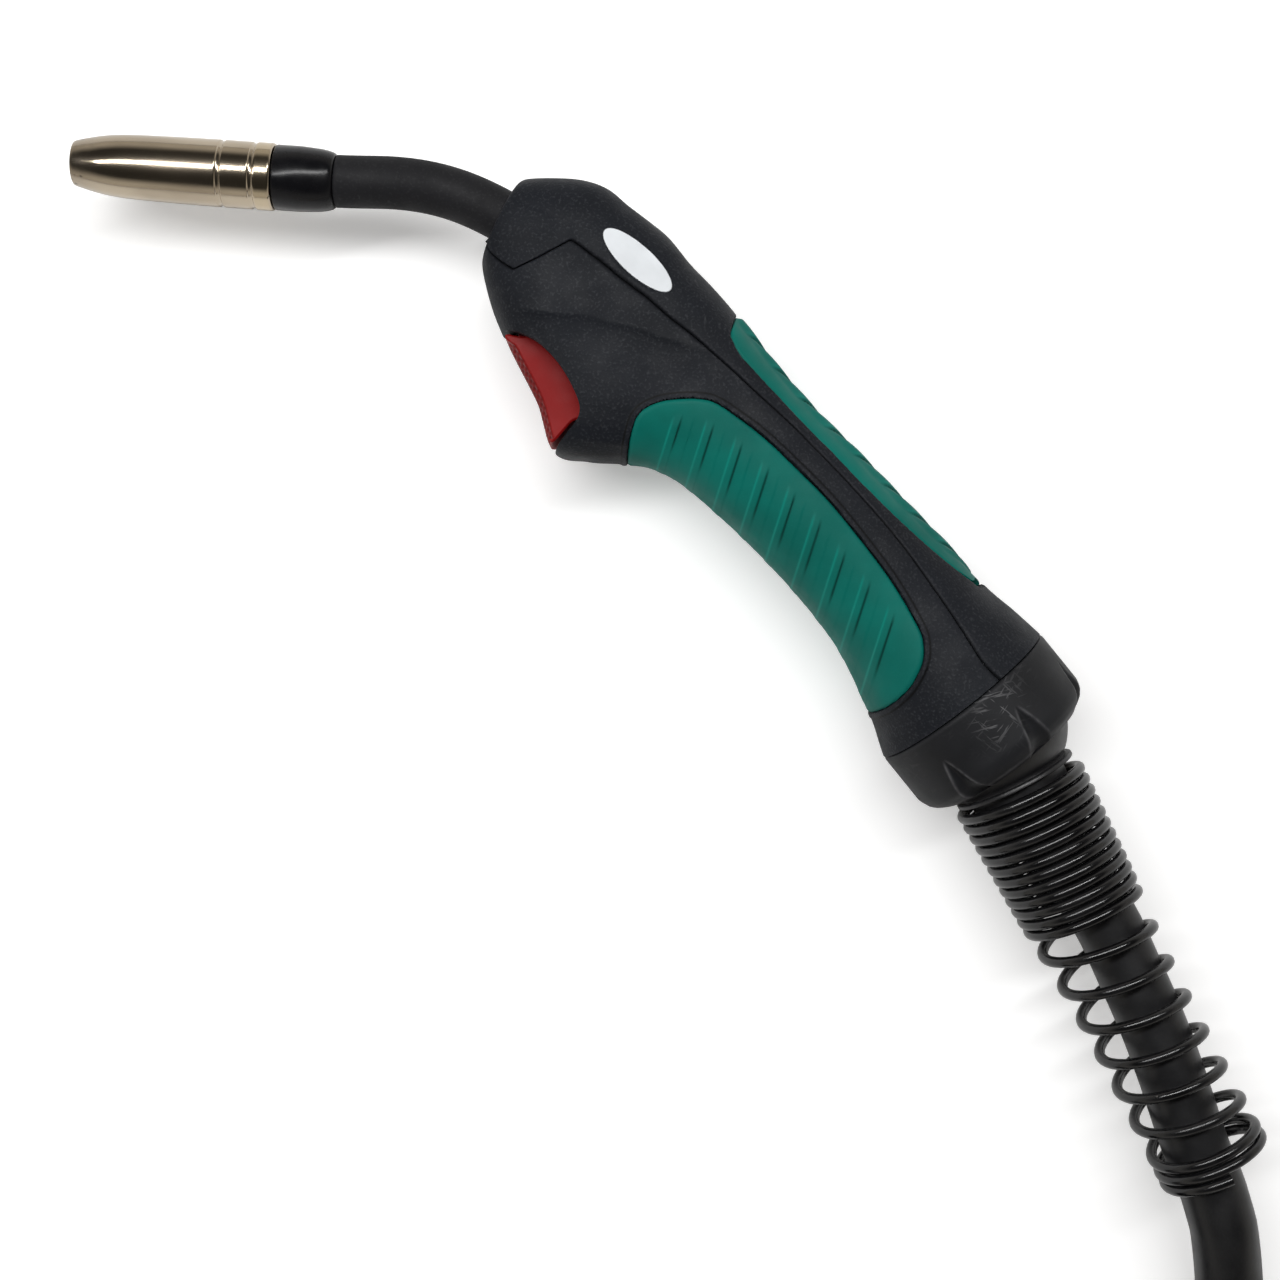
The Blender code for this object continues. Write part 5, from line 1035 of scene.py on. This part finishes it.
def front_end():
    """Nozzle, contact tip, tip holder, insulator and neck."""
    mouth = np.zeros(3)
    outside = evenly(((0.0, 5.8), (0.5, 6.0), (3.6, 6.8), (8.5, 7.75), (14.5, 8.3), (26.0, 8.6), (38.0, 8.75)), 0.5)
    x = np.arange(38.3, 52.4, 0.15)
    groove = 0.36 * sum(np.exp(-(((x - at) / 0.62) ** 6)) for at in (39.3, 47.8))
    end = [(52.4, 8.75), (52.75, 8.65), (53.0, 8.4), (53.0, 7.6), (52.0, 7.55), (25.0, 7.4), (13.0, 6.95)]
    profile = [*outside, *zip(x, 8.75 - groove + 0.05 * step_up(x, 48.6, 49.0)), *end, (7.0, 6.5), (3.0, 5.75)]
    profile += [(0.5, 5.0), (0.1, 5.1), (0.0, 5.55)]
    turned("nozzle_shell", profile, mouth, BACK, 128, "nickel", "nozzle", ("gas_nozzle",), sharp=60.0)
    tip = [(5.8, 0.6), (5.8, 1.7), (6.1, 2.0), (9.5, 3.0), (30.8, 3.0), (30.8, 0.6)]
    turned("contact_tip_turning", tip, mouth, BACK, 48, "copper", "handle", ("contact_tip",))
    holder = [(24.8, 3.05), (24.8, 4.0), (25.2, 4.3), (33.0, 4.3), (33.4, 4.0), (34.2, 4.0), (34.6, 4.3), (44.8, 4.3)]
    holder += [(45.2, 5.0), (54.8, 5.0), (54.8, 3.05)]
    turned("tip_holder_turning", holder, mouth, BACK, 48, "brass", "handle", ("tip_holder",))
    plug_end = [(47.9, 5.2), (47.9, 6.9), (48.2, 7.15), (53.2, 7.15), (53.3, 8.3), (53.7, 8.5), (60.0, 8.5)]
    plug_end += [(65.2, 8.15), (67.2, 7.8), (68.5, 7.4), (69.1, 6.9), (69.1, 5.2)]
    turned("insulator_skin", plug_end, mouth, BACK, 96, "gloss_black", "handle", ("nozzle_insulator",), sharp=60.0)
    line = neck_line(69.15, 1.2)
    front, rear = line[:1] + [(0.0, 0.0, 0.0), (0.12, 0.0, 0.0), (0.4, 0.0, 0.0)], line[-1:] + 0.3 * down(NECK_BEND)
    radius = np.concatenate([[6.2, 6.6], np.full(len(line), 6.85), [6.2]])
    bar("neck_cover", np.vstack([front, line[1:], rear]), radius, UP, 72, "neck_black", "handle", ("neck_sleeve",),
        sharp=50.0)


front_end()


# ---- ball joint ----


COLLAR_WAY = down(46.93)
COLLAR_RADIUS = 26.2
RECESS_START, RECESS_LONG = -3.4, 11.6


def recesses(s, r, angle):
    """For places on the collar: the share of the way along its seven finger recesses, the arc to the middle of the
    nearest one, and half its width there."""
    along = np.clip((s - RECESS_START) / RECESS_LONG, 0.001, 1.0)
    turns = [(angle - math.radians(13.0 + 360.0 * k / 7) + math.pi) % (2 * math.pi) - math.pi for k in range(7)]
    return along, np.min(np.abs(turns), axis=0) * r, 3.4 * along**0.8


def recessed(s, r, angle):
    """The collar's radius with its recesses: each is a wedge that starts at a point and widens backwards. It is
    deepest along its middle: depth (1 - (arc / half width)^2), both growing with the distance from the point."""
    along, arc, half = recesses(s, r, angle)
    cut = np.maximum(2.5 * along * (1 - (arc / half) ** 2), 0.0)
    return np.where((r > 20.2) & (s > RECESS_START), r - cut, r + 0 * angle)


def collar():
    """The collar: a rounded ring with seven finger recesses, marks along the recesses' rims and its back edge, which
    are partly wear and partly painted highlight, and one for the rubbed patch. Its finish is its own, on the slot of
    the shells."""
    crown = evenly([(3.6, COLLAR_RADIUS), (4.6, 26.1), (6.2, 25.6), (7.2, 24.9), (8.0, 24.15), (9.2, 22.4),
                    (9.75, 21.3), (10.0, 20.4)], 0.4)
    wall = [(k, COLLAR_RADIUS) for k in np.linspace(-9.6, 3.6, 34)[:-1]]
    profile = np.array([(-10.6, 25.6), (-10.2, 26.05), *wall, *crown, (10.0, 19.6), (9.8, 19.25), (8.4, 19.9),
                        (7.0, 22.5), (-10.6, 23.4)])
    steps = 560
    angle = np.linspace(0, 2 * math.pi, steps, endpoint=False)[None]
    s, r = profile[:, :1], profile[:, 1:]
    _, arc, half = recesses(s, r, angle)
    # rim mark: edge wear with painted highlight on the recess rims and the back edge
    rim = hump(arc - half - 0.15, 0.32) * step_up(s, -3.8, -1.0) * (r > 20.2)
    rim = np.maximum(rim, 0.8 * hump(s - 8.9, 0.5) * (r > 20) * (arc > half))
    across = np.cos(angle)[..., None] * UP + np.sin(angle)[..., None] * np.cross(UP, COLLAR_WAY)
    u, v = seen(BALL + s[..., None] * COLLAR_WAY + r[..., None] * across)
    rub = hump(u - 997.0, 19.0) * hump(v - 712.0, 26.0) * (across[..., 2] > 0) * (r > 24.5)
    ring = turned("collar_ring", profile, BALL, COLLAR_WAY, steps, "shell_black", "collar", ("collar",), recessed,
                  sharp=40.0, marks={"rim": rim, "rub": rub})
    ring.data.materials[0] = COATS["collar_black"]


def ball_and_spring():
    """The ball joint with its sleeve, and the support spring wound left-handed over it: a helix whose pitch opens
    after eleven and a half turns and closes for the last two."""
    s = np.linspace(-12.3, 13.6, 40)
    sphere = [(k, math.sqrt(21.0**2 - k * k)) for k in s]
    outside = [*sphere, (14.0, 15.5), (14.6, 15.0), (15.1, 15.0), (15.2, 16.4), (15.4, 16.6), (16.2, 16.6)]
    outside += [(16.4, 16.3), (16.4, 13.3), (31.4, 13.2), (32.0, 12.7), (32.0, 9.5), (-12.5, 9.5)]
    turned("ball_and_sleeve", outside, BALL, SUPPORT, 128, "cable_black", "cable_support", ("ball_joint",), sharp=45.0)
    fine, wire, start, stop = 44, 1.45, 18.05, 130.83
    n = np.arange(0, 20.5 * fine + 1) / fine
    opened = np.clip(np.minimum(n - 11.5, 18.5 - n) / 0.25, 0.0, 1.0)
    pitch = 3.2 + 7.0 * opened
    along = np.concatenate([[0.0], np.cumsum((pitch[1:] + pitch[:-1]) / 2 / fine)])
    along = start + along * (stop - start) / along[-1]
    mean = np.interp(along, (16.0, 51.0, 62.0, 76.0, 95.0, 134.0), (18.2, 16.9, 16.2, 15.4, 15.1, 15.6)) - wire
    turn = math.pi / 2 - 2 * math.pi * (n - 11.5)
    line = BALL + along[:, None] * SUPPORT + (mean * np.cos(turn))[:, None] * BESIDE
    line += (mean * np.sin(turn))[:, None] * UP
    bar("support_wire", line, wire, SUPPORT, 14, "spring_black", "cable_support", ("support_spring",), sharp=50.0)


collar()
ball_and_spring()
